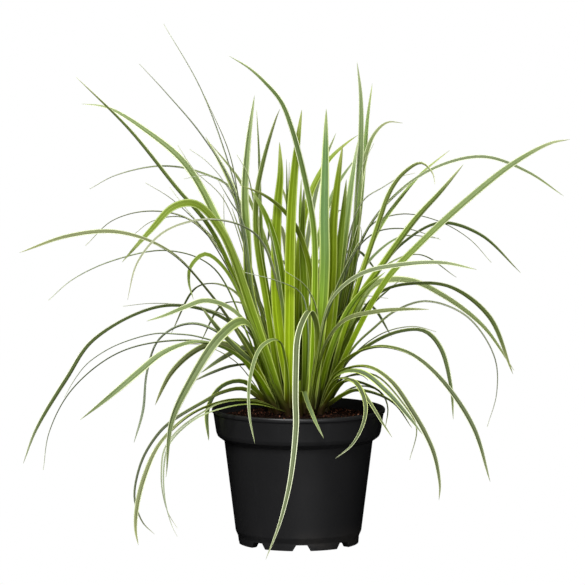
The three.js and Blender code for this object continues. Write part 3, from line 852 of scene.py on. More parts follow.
@dataclass(frozen=True)
class Soil:
    """The peat in the pot, mounded to the crown, with crumbs and bark bits lying on it.

    lump_layers gives how quickly the layers of the lumps fade, how much finer each is, and their number.
    least_bit and most_bit give the radii of a bit along its three axes, as shares of crumb_size, and
    most_turn its turns about them. Bits lie where the upward part of the normal is above least_level.
    The lumps start wall_edge above the wall, and fade out within lump_margin of it.
    """

    pot: Pot
    gap: float = 0.4
    wall_radius: float = 90.0
    wall_height: float = 135.0
    wall_edge: float = 0.5
    rows: int = 40
    sides: int = 160
    lump: float = 1.3
    lump_pitch: float = 0.12
    lump_layers: tuple[float, float, int] = (0.8, 2.2, 5)
    lump_margin: float = 3
    crumbs: int = 2600
    crumb_size: float = 2.1
    least_bit: Point = (0.35, 0.25, 0.2)
    most_bit: Point = (1.25, 0.7, 0.5)
    most_turn: Point = (6.3, 6.3, 6.3)
    least_level: float = 0.5

    def height_at(self, radius: float) -> float:
        """Gives the height of the smooth mound.

        Args:
            radius: The distance from the axis.

        Returns:
            The height there.
        """
        steps = ((0, 145), (20, 145), (44, 143.5), (62, 139.5), (80, 138), (self.wall_radius, 136))
        for (near, high), (far, low) in zip(steps, steps[1:]):
            if radius <= far:
                return high + (low - high) * (radius - near) / (far - near)
        return steps[-1][1]

    def mound(self) -> bpy.types.Mesh:
        """Makes the whole body of peat, with a lumpy top.

        Returns:
            Its mesh.
        """
        inside = [(r - self.gap, z) for r, z in self.pot.inside() if z < self.wall_height]
        profile = [(0, self.pot.floor_high + self.gap), (inside[0][0], inside[0][1] + self.gap), *inside[1:]]
        profile.append((self.wall_radius, self.wall_height))
        for i in range(1, self.rows + 1):
            radius = self.wall_radius * (1 - i / self.rows)
            profile.append((radius, self.height_at(radius)))
        mesh = turned("peat", profile, self.sides)
        for vertex in mesh.vertices:
            place = vertex.co / MM
            inwards = self.wall_radius - math.hypot(place.x, place.y)
            if place.z > self.wall_height + self.wall_edge:
                lumps = place * self.lump_pitch
                rough = noise.fractal(lumps, *self.lump_layers, noise_basis="PERLIN_ORIGINAL")
                vertex.co.z += self.lump * rough * ease(inwards, 0, self.lump_margin) * MM
        return mesh

    def bits_maker(self, material: bpy.types.Material) -> Maker:
        """Builds the tree that strews the bits over the top of the peat.

        Args:
            material: The finish of the bits.

        Returns:
            The tree.
        """
        make = Maker("Strew bits", {
            "Count per Area": ("Float", self.crumbs / (math.pi * (self.wall_radius * MM) ** 2)),
            "Size": ("Float", self.crumb_size * MM),
            "Lowest": ("Float", self.wall_height * MM),
            "Seed": ("Int", SEED),
            "Material": ("Material", material),
        })
        upright = make.part(make.node("GeometryNodeInputNormal"), "Z")
        height = make.part(make.node("GeometryNodeInputPosition"), "Z")
        inputs = {0: make.above(height, make.given("Lowest")), 1: make.above(upright, self.least_level)}
        top = make.node("FunctionNodeBooleanMath", inputs, operation="AND")
        inputs = {"Mesh": make.given("Geometry"), "Selection": top, "Density": make.given("Count per Area")}
        inputs |= {"Seed": make.given("Seed")}
        spots = make.node("GeometryNodeDistributePointsOnFaces", inputs)
        lump = make.node("GeometryNodeMeshIcoSphere", {"Radius": 1.0, "Subdivisions": 1})
        turn = make.draw("FLOAT_VECTOR", (0.0, 0.0, 0.0), self.most_turn, 1)
        sides = make.draw("FLOAT_VECTOR", self.least_bit, self.most_bit, 2)
        size = make.scaled(sides, make.given("Size"))
        inputs = {"Points": spots, "Instance": lump, "Rotation": turn, "Scale": size}
        bits = make.node("GeometryNodeInstanceOnPoints", inputs)
        tint = make.draw("FLOAT", 0.0, 1.0, 5)
        make.end(make.store(bits, "tint", tint, domain="INSTANCE"), smooth=False)
        return make

    def build(self, peat: bpy.types.Material, bark: bpy.types.Material) -> None:
        """Builds the peat and what lies on it.

        Args:
            peat: The finish of the peat.
            bark: The finish of the bits.
        """
        mesh = self.mound()
        bits = self.bits_maker(bark).run("bark_bits", mesh)
        piece = add_object("peat", mesh)
        mesh.materials.append(peat)
        dress(piece, "soil", "soil")
        dress(bits, "soil")


@dataclass(frozen=True)
class Leaf:
    """A leaf: its greatest width, how far its upper face is turned to the front, its colours and its way.

    The turn is in degrees, at the root and at the tip. The way is the points of the midrib from the root on.
    """

    width: float
    turn: Pair
    tone: Tone
    way: tuple[Point, ...]


@dataclass(frozen=True)
class Shoot:
    """A leafy shoot: the place of its root and its leaves."""

    foot: Pair
    leaves: tuple[Leaf, ...]


SHOOTS = (
    Shoot((-23, -22), (
        Leaf(10.5, (45, 105), Tone.GREEN, ((-42, -32, 208), (-60, -44, 249), (-85, -60, 236),
            (-117, -76, 190), (-138, -87, 145), (-143, -95, 86))),
        Leaf(8, (-25, 80), Tone.OLIVE, ((-50, -30, 159), (-82, -38, 160), (-118, -45, 146),
            (-150, -51, 115), (-166, -55, 82), (-175, -58, 49), (-177, -59, 22), (-174, -60, 5))),
        Leaf(7.5, (50, 50), Tone.GREEN, ((-46, -32, 222), (-70, -42, 260), (-101, -54, 274),
            (-123, -61, 268), (-145, -68, 260), (-164, -74, 255))),
        Leaf(9, (-20, 115), Tone.GREEN, ((-52, -36, 196), (-80, -47, 220), (-107, -56, 228),
            (-129, -63, 225), (-150, -69, 216), (-172, -73, 199), (-193, -78, 182),
            (-236, -86, 148))),
        Leaf(7.5, (-10, 90), Tone.OLIVE, ((-54, -30, 212), (-97, -44, 281), (-140, -56, 328),
            (-196, -66, 351), (-250, -74, 348), (-301, -80, 331))),
    )),
    Shoot((-11, -30), (
        Leaf(4.5, (30, 30), Tone.GREEN, ((-14, -36, 200), (-22, -46, 229), (-41, -62, 224),
            (-53, -82, 190), (-53, -97, 155), (-47, -107, 125))),
        Leaf(2.8, (15, 15), Tone.GREY, ((-48, -38, 161), (-85, -54, 161), (-102, -60, 153),
            (-131, -70, 133), (-145, -76, 113), (-148, -80, 90), (-147, -82, 69), (-141, -84, 45),
            (-131, -86, 28))),
        Leaf(2.6, (15, 15), Tone.GREY, ((-46, -42, 158), (-80, -60, 157), (-112, -72, 146),
            (-139, -82, 121), (-145, -86, 98), (-144, -90, 60), (-137, -93, 33), (-131, -95, 20))),
        Leaf(11.5, (-25, -25), Tone.FRESH, ((-10, -38, 260), (-9, -44, 342), (-6, -48, 398),
            (-2, -52, 440), (3.5, -56, 484))),
    )),
    Shoot((1, -33), (
        Leaf(5.5, (0, 0), Tone.PALE, ((4, -43, 168), (6, -60, 174), (10, -82, 165), (19, -101, 146),
            (27, -112, 132))),
    )),
    Shoot((13, -30), (
        Leaf(12, (-25, -25), Tone.BRIGHT, ((25, -34, 250), (28.5, -38, 314), (28, -42, 366),
            (29, -46, 426), (30, -50, 484))),
        Leaf(7, (-50, -50), Tone.GREEN, ((17, -36, 250), (17, -43, 345), (9, -53, 398),
            (-7, -66, 464), (-19, -70, 495), (-36, -73, 516), (-53, -75, 532), (-75, -77, 546))),
        Leaf(8, (50, 50), Tone.OLIVE, ((22, -42, 210), (36, -62, 274), (68, -82, 307),
            (110, -98, 320), (155, -108, 324), (191, -116, 318))),
        Leaf(8.5, (40, 40), Tone.GREEN, ((30, -40, 222), (52, -50, 252), (84, -58, 262),
            (114, -64, 266), (141, -68, 267))),
        Leaf(3.9, (20, 20), Tone.GREEN, ((20, -36, 228), (18, -42, 267), (6, -48, 291),
            (-15, -52, 307))),
        Leaf(7, (0, 0), Tone.DARK, ((20, -38, 218), (19, -46, 247), (13, -56, 262), (5, -72, 254),
            (-1, -86, 236), (-2.5, -98, 210), (-3, -112, 173), (-2.5, -124, 146), (-9, -142, 88),
            (-20, -154, 44), (-35, -162, 5))),
    )),
    Shoot((24, -22), (
        Leaf(8, (0, 65), Tone.DARK, ((48, -30, 202), (82, -38, 220), (110, -45, 218),
            (132, -49, 207), (160, -54, 180), (190, -60, 134), (208, -64, 76))),
        Leaf(7, (0, 60), Tone.DARK, ((42, -33, 190), (73, -46, 200), (99, -56, 186),
            (122, -64, 155), (137, -69, 130), (147, -73, 107), (153, -78, 74), (152, -80, 58))),
        Leaf(5.2, (30, 30), Tone.DARK, ((46, -40, 182), (62, -54, 184), (73, -74, 162),
            (69, -88, 140), (57, -98, 121), (40, -103, 108))),
        Leaf(4.4, (20, 20), Tone.DARK, ((40, -38, 184), (60, -52, 185), (76, -68, 166),
            (91, -80, 143), (101, -88, 129))),
        Leaf(7, (35, 35), Tone.DARK, ((42, -34, 188), (68, -46, 194), (96, -58, 174),
            (118, -66, 150), (134, -72, 130))),
        Leaf(7, (-35, -35), Tone.DARK, ((50, -26, 166), (62, -30, 171), (83, -38, 169),
            (104, -45, 159), (123, -51, 134))),
    )),
    Shoot((-29, -6), (
        Leaf(7.5, (-15, -100), Tone.CREAM, ((-58, -8, 222), (-88, -12, 251), (-148, -18, 262),
            (-222, -26, 227), (-252, -30, 185), (-286, -35, 129), (-300, -38, 92))),
        Leaf(6.5, (-40, -40), Tone.GREEN, ((-60, -10, 262), (-95, -16, 345), (-135, -24, 396),
            (-183, -32, 458), (-240, -40, 517))),
        Leaf(4.8, (0, 0), Tone.GREY, ((-50, -4, 196), (-90, 2, 218), (-149, 8, 220),
            (-201, 14, 205), (-249, 20, 165), (-274, 24, 118), (-281, 26, 76))),
        Leaf(5.5, (-60, -60), Tone.GREY, ((-58, -12, 170), (-84, -18, 167), (-102, -22, 158),
            (-135, -28, 139), (-151, -30, 125), (-169, -34, 97), (-178, -38, 63), (-177, -39, 47),
            (-169, -41, 27), (-157, -42, 15))),
        Leaf(8, (-50, -110), Tone.OLIVE, ((-52, -14, 194), (-76, -20, 219), (-97, -24, 221),
            (-118, -28, 211), (-138, -32, 192), (-148, -35, 175), (-156, -38, 157))),
        Leaf(7, (-40, -100), Tone.GREEN, ((-60, -12, 178), (-84, -15, 173), (-99, -18, 148),
            (-98, -20, 115))),
        Leaf(4.2, (0, 0), Tone.DARK, ((-58, -10, 262), (-100, -16, 342), (-120, -20, 365),
            (-141, -24, 384), (-166, -28, 400))),
        Leaf(4.2, (0, 0), Tone.PALE, ((-58, -12, 235), (-94, -18, 306), (-141, -26, 325),
            (-200, -36, 316), (-245, -44, 296), (-271, -48, 274))),
        Leaf(2.6, (0, 0), Tone.GREY, ((-63, -9, 195), (-76, -10, 206), (-90, -11, 214),
            (-103, -12, 219), (-119, -13, 221))),
    )),
    Shoot((-17, -10), (
        Leaf(10.5, (85, 48), Tone.DEEP, ((-50, -18, 252), (-84, -26, 345), (-112, -33, 377),
            (-135, -38, 375), (-160, -43, 350), (-191, -48, 316))),
        Leaf(7, (-10, -10), Tone.GREEN, ((-34, -16, 262), (-46, -20, 343), (-45, -24, 388),
            (-37, -28, 428), (-25, -32, 469), (-20, -36, 482))),
        Leaf(6.5, (40, 70), Tone.DEEP, ((-54, -22, 250), (-83, -28, 308), (-102, -31, 322),
            (-117, -33, 309), (-119, -34, 292), (-114, -36, 273))),
        Leaf(7, (-60, -60), Tone.GREEN, ((-53, -19, 200), (-70, -20, 217), (-87, -20, 235),
            (-97, -20, 248), (-109, -20, 264))),
        Leaf(6, (0, 0), Tone.GREY, ((-50, -12, 255), (-70, -12, 387), (-104, -10, 447),
            (-145, -6, 496), (-173, -2, 526))),
        Leaf(6.5, (0, 0), Tone.GREY, ((-49, -14, 268), (-62, -18, 357), (-74, -22, 378),
            (-87, -26, 402))),
    )),
    Shoot((-6, -15), (
        Leaf(9, (-60, -60), Tone.FRESH, ((-14, -20, 250), (-23, -26, 325), (-37, -32, 368),
            (-53, -36, 396))),
        Leaf(6, (10, 10), Tone.GREY, ((-20, -26, 270), (-46, -42, 344), (-94, -60, 364),
            (-144, -76, 353), (-173, -86, 321), (-184, -90, 281))),
        Leaf(12.5, (-10, -10), Tone.FRESH, ((-23.5, -20, 250), (-25, -24, 332), (-23, -27, 377),
            (-20, -30, 410), (-20.5, -32, 445))),
        Leaf(3.9, (0, 0), Tone.DEEP, ((-9, -22, 260), (-12, -26, 350), (-13, -28, 426))),
    )),
    Shoot((7, -16), (
        Leaf(6.5, (-60, -60), Tone.DEEP, ((15, -20, 230), (14, -26, 295), (3, -30, 339),
            (-8, -32, 360), (-22, -34, 376), (-40, -36, 389), (-64, -38, 399))),
        Leaf(8.5, (0, 0), Tone.DEEP, ((8, -22, 250), (4, -26, 330), (6, -30, 395))),
        Leaf(3.2, (10, 10), Tone.GREY, ((10, -24, 240), (2, -34, 280), (-22, -42, 294),
            (-58, -50, 305))),
    )),
    Shoot((19, -11), (
        Leaf(11, (-30, -30), Tone.FRESH, ((31, -16, 232), (37, -22, 302), (38, -27, 354),
            (43, -31, 405), (48, -34, 443))),
        Leaf(9, (-60, -60), Tone.FRESH, ((35, -14, 230), (44, -18, 320), (50, -20, 380),
            (52, -22, 403))),
        Leaf(7.5, (-50, -50), Tone.FRESH, ((36, -18, 215), (56, -24, 262), (75, -30, 286),
            (94, -34, 303))),
    )),
    Shoot((30, -6), (
        Leaf(10, (45, 75), Tone.PALE, ((56, -12, 213), (97, -20, 291), (132, -26, 331),
            (181, -34, 379), (233, -42, 423), (272, -48, 446), (293, -52, 451))),
        Leaf(9, (10, -100), Tone.GREEN, ((52, -6, 224), (90, -8, 276), (132, -10, 286),
            (168, -12, 281), (208, -14, 250), (234, -16, 188))),
        Leaf(9, (-35, -75), Tone.PALE, ((60, -10, 257), (95, -14, 312), (128, -18, 359),
            (155, -22, 390), (179, -26, 420))),
        Leaf(7, (-30, -70), Tone.PALE, ((52, -8, 237), (84, -12, 342), (101, -16, 391),
            (116, -20, 411), (133, -24, 421), (145, -28, 411), (148, -32, 399))),
        Leaf(8, (-35, -35), Tone.OLIVE, ((46, 0, 190), (80, 6, 217), (111, 10, 230), (138, 13, 230),
            (155, 15, 212), (167, 18, 168), (170, 20, 133))),
        Leaf(4.5, (20, 20), Tone.GREY, ((58, -4, 211), (84, -2, 237), (107, 0, 255), (140, 2, 265),
            (184, 4, 248), (214, 6, 204), (217, 8, 164), (207, 10, 126))),
        Leaf(6.5, (-30, -30), Tone.DARK, ((50, -10, 178), (61, -13, 179), (83, -18, 172),
            (92, -20, 165), (97, -22, 152), (95, -23, 131))),
        Leaf(3.9, (-30, -30), Tone.GREY, ((50, -2, 165), (62, 0, 171), (73, 0, 172), (84, 0, 169),
            (93, 0, 163))),
        Leaf(3.9, (-20, -20), Tone.GREY, ((48, -8, 181), (58, -10, 185), (69, -12, 186),
            (76, -14, 181))),
        Leaf(3.9, (0, 0), Tone.GREY, ((54, -10, 200), (90, -16, 232), (125, -20, 241),
            (150, -24, 236))),
    )),
    Shoot((-23, 9), (
        Leaf(10, (60, 30), Tone.GREEN, ((-52, 12, 258), (-89, 18, 351), (-124, 23, 412),
            (-168, 28, 449), (-209, 32, 473), (-237, 36, 477))),
        Leaf(7, (-20, 100), Tone.GREY, ((-48, 16, 196), (-92, 26, 229), (-114, 31, 236),
            (-136, 36, 231), (-155, 40, 215), (-166, 44, 182), (-171, 49, 139), (-182, 54, 102))),
        Leaf(7.5, (60, 60), Tone.OLIVE, ((-42, 12, 205), (-59, 14, 212), (-82, 18, 201),
            (-107, 22, 184))),
        Leaf(5.4, (0, 0), Tone.GREEN, ((-50, 10, 250), (-85, 18, 317), (-121, 26, 352),
            (-163, 32, 360), (-204, 38, 349), (-234, 42, 321))),
        Leaf(4, (0, 0), Tone.GREY, ((-52, 14, 200), (-109, 22, 223), (-136, 25, 226),
            (-158, 27, 226), (-197, 33, 214), (-219, 36, 202), (-235, 39, 189), (-249, 41, 170),
            (-258, 42, 154))),
        Leaf(2.9, (0, 0), Tone.GREY, ((-52, 14, 225), (-76, 18, 245), (-110, 24, 256),
            (-160, 32, 259), (-193, 38, 255))),
        Leaf(3.5, (0, 0), Tone.DARK, ((-50, 8, 262), (-66, 2, 380), (-76, -2, 430),
            (-102, -8, 492))),
        Leaf(2.6, (0, 0), Tone.DARK, ((-60, 10, 270), (-95, 20, 332), (-120, 24, 360),
            (-141, 28, 387))),
    )),
    Shoot((-11, 4), (
        Leaf(10, (60, 60), Tone.GREEN, ((-52, -1, 268), (-57, 0, 338), (-59, 2, 386), (-55, 6, 440),
            (-48, 10, 490))),
        Leaf(5.5, (0, 0), Tone.GREEN, ((-34, 0, 280), (-50, -4, 380), (-56, -6, 407),
            (-67, -8, 428))),
        Leaf(2.6, (0, 0), Tone.DARK, ((-52, 8, 290), (-82, 12, 376), (-114, 14, 408),
            (-132, 14, 435))),
        Leaf(3.9, (0, 0), Tone.GREY, ((-52, 2, 288), (-78, 4, 393), (-100, 6, 403),
            (-125, 8, 399))),
        Leaf(2.6, (0, 0), Tone.DARK, ((-52, 10, 280), (-66, 14, 366), (-84, 16, 399),
            (-100, 18, 417), (-118, 18, 430))),
    )),
    Shoot((1, 1), (
        Leaf(8.5, (30, 30), Tone.FRESH, ((-2, 8, 260), (4, 14, 340), (14, 20, 382), (32, 26, 415),
            (53, 30, 435), (65, 34, 443))),
        Leaf(3, (0, 0), Tone.DEEP, ((-8, 4, 300), (-11, 8, 380), (-10, 10, 417))),
    )),
    Shoot((13, 4), (
        Leaf(10, (50, 50), Tone.PALE, ((35, 8, 240), (48, 12, 318), (56, 16, 378), (60.5, 18, 410),
            (65, 20, 439))),
        Leaf(2.9, (0, 0), Tone.GREY, ((34, 2, 230), (50, 4, 256), (70, 6, 270), (98, 8, 268))),
        Leaf(2.6, (0, 0), Tone.GREY, ((40, 6, 250), (60, 6, 350), (69, 6, 410), (82, 6, 438))),
    )),
    Shoot((24, 9), (
        Leaf(8.5, (50, 50), Tone.PALE, ((46, 14, 230), (60, 18, 307), (65, 22, 377), (68, 26, 434),
            (68, 30, 486), (64, 34, 523))),
        Leaf(8, (40, 40), Tone.PALE, ((44, 14, 240), (62, 20, 335), (70, 24, 403), (82, 28, 443),
            (97, 32, 457), (114, 36, 456))),
        Leaf(7, (-30, 85), Tone.OLIVE, ((48, 16, 240), (73, 22, 335), (114, 30, 384),
            (160, 38, 410), (205, 46, 417), (252, 52, 400), (292, 58, 373))),
        Leaf(9.5, (45, 45), Tone.GREEN, ((52, 12, 216), (82, 16, 280), (120, 20, 285),
            (156, 24, 269), (202, 28, 234), (237, 32, 185))),
        Leaf(6.5, (-45, -45), Tone.GREEN, ((58, 14, 238), (94, 20, 302), (116, 26, 326),
            (155, 36, 346), (200, 46, 332), (245, 56, 289))),
        Leaf(6, (-40, -40), Tone.GREEN, ((54, 10, 226), (79, 12, 258), (112, 14, 288))),
        Leaf(5, (-20, -20), Tone.GREY, ((50, 10, 285), (58, 11, 308), (67, 12, 324), (78, 12, 335),
            (92, 12, 342), (122, 12, 343), (156, 12, 332))),
        Leaf(4.5, (-20, -20), Tone.GREY, ((46, 12, 230), (60, 14, 290), (68, 16, 325),
            (69, 18, 340), (65, 20, 351))),
        Leaf(5, (0, 0), Tone.GREY, ((44, 12, 255), (58, 14, 343), (72, 16, 375), (92, 18, 388),
            (112, 18, 400), (127, 18, 404))),
    )),
    Shoot((-17, 24), (
        Leaf(6, (10, 10), Tone.GREEN, ((-50, 33, 265), (-70, 40, 378), (-108, 46, 400),
            (-152, 54, 406), (-202, 60, 395), (-230, 64, 380))),
        Leaf(3.2, (0, 0), Tone.DARK, ((-51, 32, 270), (-65, 40, 365), (-83, 46, 428),
            (-109, 52, 494), (-148, 58, 561))),
        Leaf(5, (-20, -80), Tone.GREY, ((-48, 28, 189), (-70, 32, 190), (-95, 36, 182),
            (-116, 40, 172))),
        Leaf(6.5, (0, 0), Tone.GREEN, ((-38, 26, 280), (-43, 30, 376), (-44, 34, 425),
            (-46, 38, 470))),
        Leaf(2.6, (0, 0), Tone.GREEN, ((-48, 26, 230), (-74, 28, 306), (-81, 30, 341),
            (-82, 32, 379))),
        Leaf(5, (0, 0), Tone.GREEN, ((-50, 30, 240), (-90, 34, 325), (-125, 38, 352),
            (-160, 42, 348), (-182, 46, 332))),
        Leaf(8, (60, 60), Tone.GREEN, ((-50, 32, 249), (-60, 38, 344), (-74, 42, 388),
            (-102, 46, 440))),
    )),
    Shoot((-5, 19), ()),
    Shoot((7, 18), (
        Leaf(6, (0, 0), Tone.FRESH, ((8, 24, 280), (2, 28, 350), (3, 32, 396))),
    )),
    Shoot((18, 23), (
        Leaf(7, (40, 40), Tone.BRIGHT, ((48, 30, 250), (65, 38, 344), (72, 44, 413), (76, 48, 460),
            (81, 52, 497))),
        Leaf(6, (40, 40), Tone.BRIGHT, ((52, 28, 240), (86, 34, 335), (112, 40, 373),
            (136, 46, 400), (166, 52, 424))),
        Leaf(3.6, (0, 0), Tone.GREEN, ((46, 30, 236), (77, 40, 340), (111, 50, 354), (152, 60, 346),
            (188, 68, 325), (213, 74, 298))),
        Leaf(3.9, (10, 10), Tone.GREEN, ((50, 20, 178), (82, 18, 182), (115, 14, 150),
            (129, 10, 125), (122, 6, 90))),
    )),
    Shoot((-6, 35), ()),
    Shoot((7, 34), ()),
)


@dataclass(frozen=True)
class RuleKind:
    """A kind of leaf that grows by rule: a colouring for each, and the ranges of their sizes."""

    tones: tuple[Tone, ...]
    lean: Pair
    length: Pair
    droop: Pair
    width: Pair


class Midrib:
    """A smooth curve through points, measured along its length."""

    LEAST_SPAN = 1e-6
    STEP = 0.004

    def __init__(self, knots: Sequence[Vector], steps: int = 20) -> None:
        """Draws the curve.

        Args:
            knots: The points that it passes through.
            steps: How many short pieces each span is drawn with.
        """
        ends = [2 * knots[0] - knots[1], *knots, 2 * knots[-1] - knots[-2]]
        self.points = [knots[0]]
        for a, b, c, d in zip(ends, ends[1:], ends[2:], ends[3:]):
            spans = [max((q - p).length, self.LEAST_SPAN) for p, q in ((a, b), (b, c), (c, d))]
            before, over, after = [math.sqrt(span) for span in spans]
            leave = ((b - a) / before - (c - a) / (before + over) + (c - b) / over) * over
            arrive = ((c - b) / over - (d - b) / (over + after) + (d - c) / after) * over
            for i in range(1, steps + 1):
                t = i / steps
                curve = (2 * b - 2 * c + leave + arrive) * t ** 3
                curve += (3 * c - 3 * b - 2 * leave - arrive) * t ** 2
                self.points.append(curve + leave * t + b)
        self.lengths = [0.0]
        for p, q in zip(self.points, self.points[1:]):
            self.lengths.append(self.lengths[-1] + (q - p).length)
        self.length = self.lengths[-1]

    def at(self, along: float) -> Vector:
        """Gives a point of the curve.

        Args:
            along: The share of the length.

        Returns:
            The point there.
        """
        wanted = min(max(along, 0.0), 1.0) * self.length
        high = min(bisect_right(self.lengths, wanted), len(self.lengths) - 1)
        start, end = self.lengths[high - 1], self.lengths[high]
        share = (wanted - start) / max(end - start, self.LEAST_SPAN)
        return self.points[high - 1].lerp(self.points[high], share)

    def tangent(self, along: float) -> Vector:
        """Gives the direction at a share of the length."""
        return (self.at(along + self.STEP) - self.at(along - self.STEP)).normalized()


@dataclass(frozen=True)
class Station:
    """A place on a midrib: its point, the frame of the blade there, its sizes and its colours."""

    centre: Vector
    flat: Vector
    upper: Vector
    half: float
    depth: float
    along: float
    reach: float
    # face, back and rim carry painted shade and painted light besides the leaf's own colours.
    face: Colour
    back: Colour
    rim: Colour


@dataclass(frozen=True)
class Rail:
    """The stations of one blade, or of one stem where tube is 1."""

    stations: tuple[Station, ...]
    number: float
    streak: float
    # side picks the half of the fold that gets painted shade.
    side: float
    tube: float


def rails_mesh(name: str, rails: Sequence[Rail]) -> bpy.types.Mesh:
    """Makes the lines that the blades are grown on, with what each station carries.

    Args:
        name: The name of the mesh.
        rails: The blades and stems of a shoot.

    Returns:
        A mesh of edges in metres, with the stations' values as attributes of its points.
    """
    owners = [rail for rail in rails for _ in rail.stations]
    stations = [station for rail in rails for station in rail.stations]
    edges = [(i, i + 1) for i in range(len(owners) - 1) if owners[i] is owners[i + 1]]
    mesh = bpy.data.meshes.new(name)
    mesh.from_pydata([station.centre * MM for station in stations], edges, [])
    columns = (
        (stations, MM, "FLOAT", "value", ("half", "depth", "reach")),
        (stations, 1, "FLOAT", "value", ("along",)),
        (owners, 1, "FLOAT", "value", ("number", "streak", "side", "tube")),
        (stations, MM, "FLOAT_VECTOR", "vector", ("centre",)),
        (stations, 1, "FLOAT_VECTOR", "vector", ("flat", "upper")),
        (stations, 1, "FLOAT_COLOR", "color", ("face", "back", "rim")),
    )
    for holders, scale, kind, part, labels in columns:
        for label in labels:
            values = [getattr(holder, label) for holder in holders]
            if kind != "FLOAT":
                values = [number for value in values for number in value]
            store = mesh.attributes.new(label, kind, "POINT").data
            store.foreach_set(part, [value * scale for value in values])
    return mesh


class Paint:
    """The colours along one leaf, with the small chance differences that it has from others.

    A spread is the most that chance adds or takes. Ends are the two places between which something
    comes or goes, in millimetres from the root, or as shares of the low part and of the length for
    LOW_ENDS and TIP_ENDS. For UPRIGHT_ENDS they are heights of the tip above the root. The colours
    carry painted shade low on leaves among others, most far back in the clump, painted shade at the
    root, and painted light low on the leaves at the front.
    """

    LIGHT_SPREAD = 0.18
    WARM_SPREAD = 0.07
    # Painted shade low on the leaves among others, strongest far back in the clump.
    PAINTED_SHADE_SHARES = (0.2, 1.0)
    DEEP_PAINTED_SHADE = 0.9
    PAINTED_SHADE_ENDS = (20, 130)
    UPRIGHT_ENDS = (150, 290)
    LOW_SHARE = 0.32
    UPRIGHT_SHARE = 0.3
    LOW_ENDS = (0.4, 1.6)
    TIP_ENDS = (0.86, 1.0)
    HUSKS = (colour("2a1c10"), colour("9a6f3c"))
    HUSK_ENDS = (5, 32)
    # Painted shade at the root: the colours there drop to this share of their lightness.
    PAINTED_ROOT_LIGHT = 0.3
    ROOT_ENDS = (4, 36)
    # Painted light low on the leaves at the front of the clump.
    PAINTED_FRONT_LIGHT = 0.22
    FRONT_ENDS = (80, 160)
    LOW_RIM = "bccb66"
    RIM_ENDS = (70, 210)
    UPRIGHT_RIM = 60

    def __init__(
        self, tone: LeafColours, length: float, lift: float, deep: float, chance: random.Random
    ) -> None:
        """Draws how this leaf differs from others.

        Args:
            tone: The leaf's colours.
            length: Its length in millimetres.
            lift: How high its tip is above its root, in millimetres.
            deep: How far back in the clump it is, from 0 at the front to 1; it deepens the painted shade
                and takes away the painted light.
            chance: Draws the differences.
        """
        self.tone = tone
        self.length = length
        self.deep = deep
        self.upright = ease(lift, *self.UPRIGHT_ENDS)
        self.low_part = min(tone.low_until, (self.LOW_SHARE + self.UPRIGHT_SHARE * self.upright) * length)
        self.light = 1 + chance.uniform(-self.LIGHT_SPREAD, self.LIGHT_SPREAD)
        self.warm = chance.uniform(-self.WARM_SPREAD, self.WARM_SPREAD)
        self.painted_shade = max(tone.painted_shade * chance.uniform(*self.PAINTED_SHADE_SHARES), self.DEEP_PAINTED_SHADE * deep)
        self.husk = blend(chance.random() ** 2, *self.HUSKS)

    def painted_light_at(self, along: float) -> float:
        """Gives how light the leaf is.

        Args:
            along: The share of the length.

        Returns:
            What its colours are multiplied by there: its own chance lightness, with painted shade among
            others and at the root, and painted light low on the front leaves.
        """
        rise = along * self.length
        # Painted shade low on the leaf among other leaves, gone higher up.
        clump_shade = 1 - self.painted_shade * (1 - ease(rise, *self.PAINTED_SHADE_ENDS))
        # Painted shade at the root.
        root = self.PAINTED_ROOT_LIGHT + (1 - self.PAINTED_ROOT_LIGHT) * ease(rise, *self.ROOT_ENDS)
        # Painted light low on the leaves at the front of the clump.
        front = 1 + self.PAINTED_FRONT_LIGHT * (1 - self.deep) * (1 - ease(rise, *self.FRONT_ENDS))
        return self.light * clump_shade * root * front

    def side(self, middle: Colour, along: float) -> Colour:
        """Gives the colour of one side of the leaf.

        Args:
            middle: The colour of that side past its low part.
            along: The share of the length.

        Returns:
            The colour there.
        """
        rise = along * self.length
        tint = blend(ease(rise / self.low_part, *self.LOW_ENDS), self.tone.low, middle)
        tint = blend(ease(along, *self.TIP_ENDS), tint, self.tone.tip)
        red, green, blue, alpha = blend(ease(rise, *self.HUSK_ENDS), self.husk, tint)
        # Painted shade and painted light.
        light = self.painted_light_at(along)
        return red * light * (1 + self.warm), green * light, blue * light * (1 - self.warm), alpha

    def rim(self, along: float) -> Colour:
        """Gives the colour of the margins, yellower near the root than above.

        Args:
            along: The share of the length.

        Returns:
            The colour there.
        """
        share = ease(along * self.length - self.UPRIGHT_RIM * self.upright, *self.RIM_ENDS)
        low = colour(self.LOW_RIM, self.tone.margin[3])
        red, green, blue, alpha = blend(share, low, self.tone.margin)
        # Painted shade and painted light, as on the sides.
        light = self.painted_light_at(along)
        return red * light, green * light, blue * light, alpha


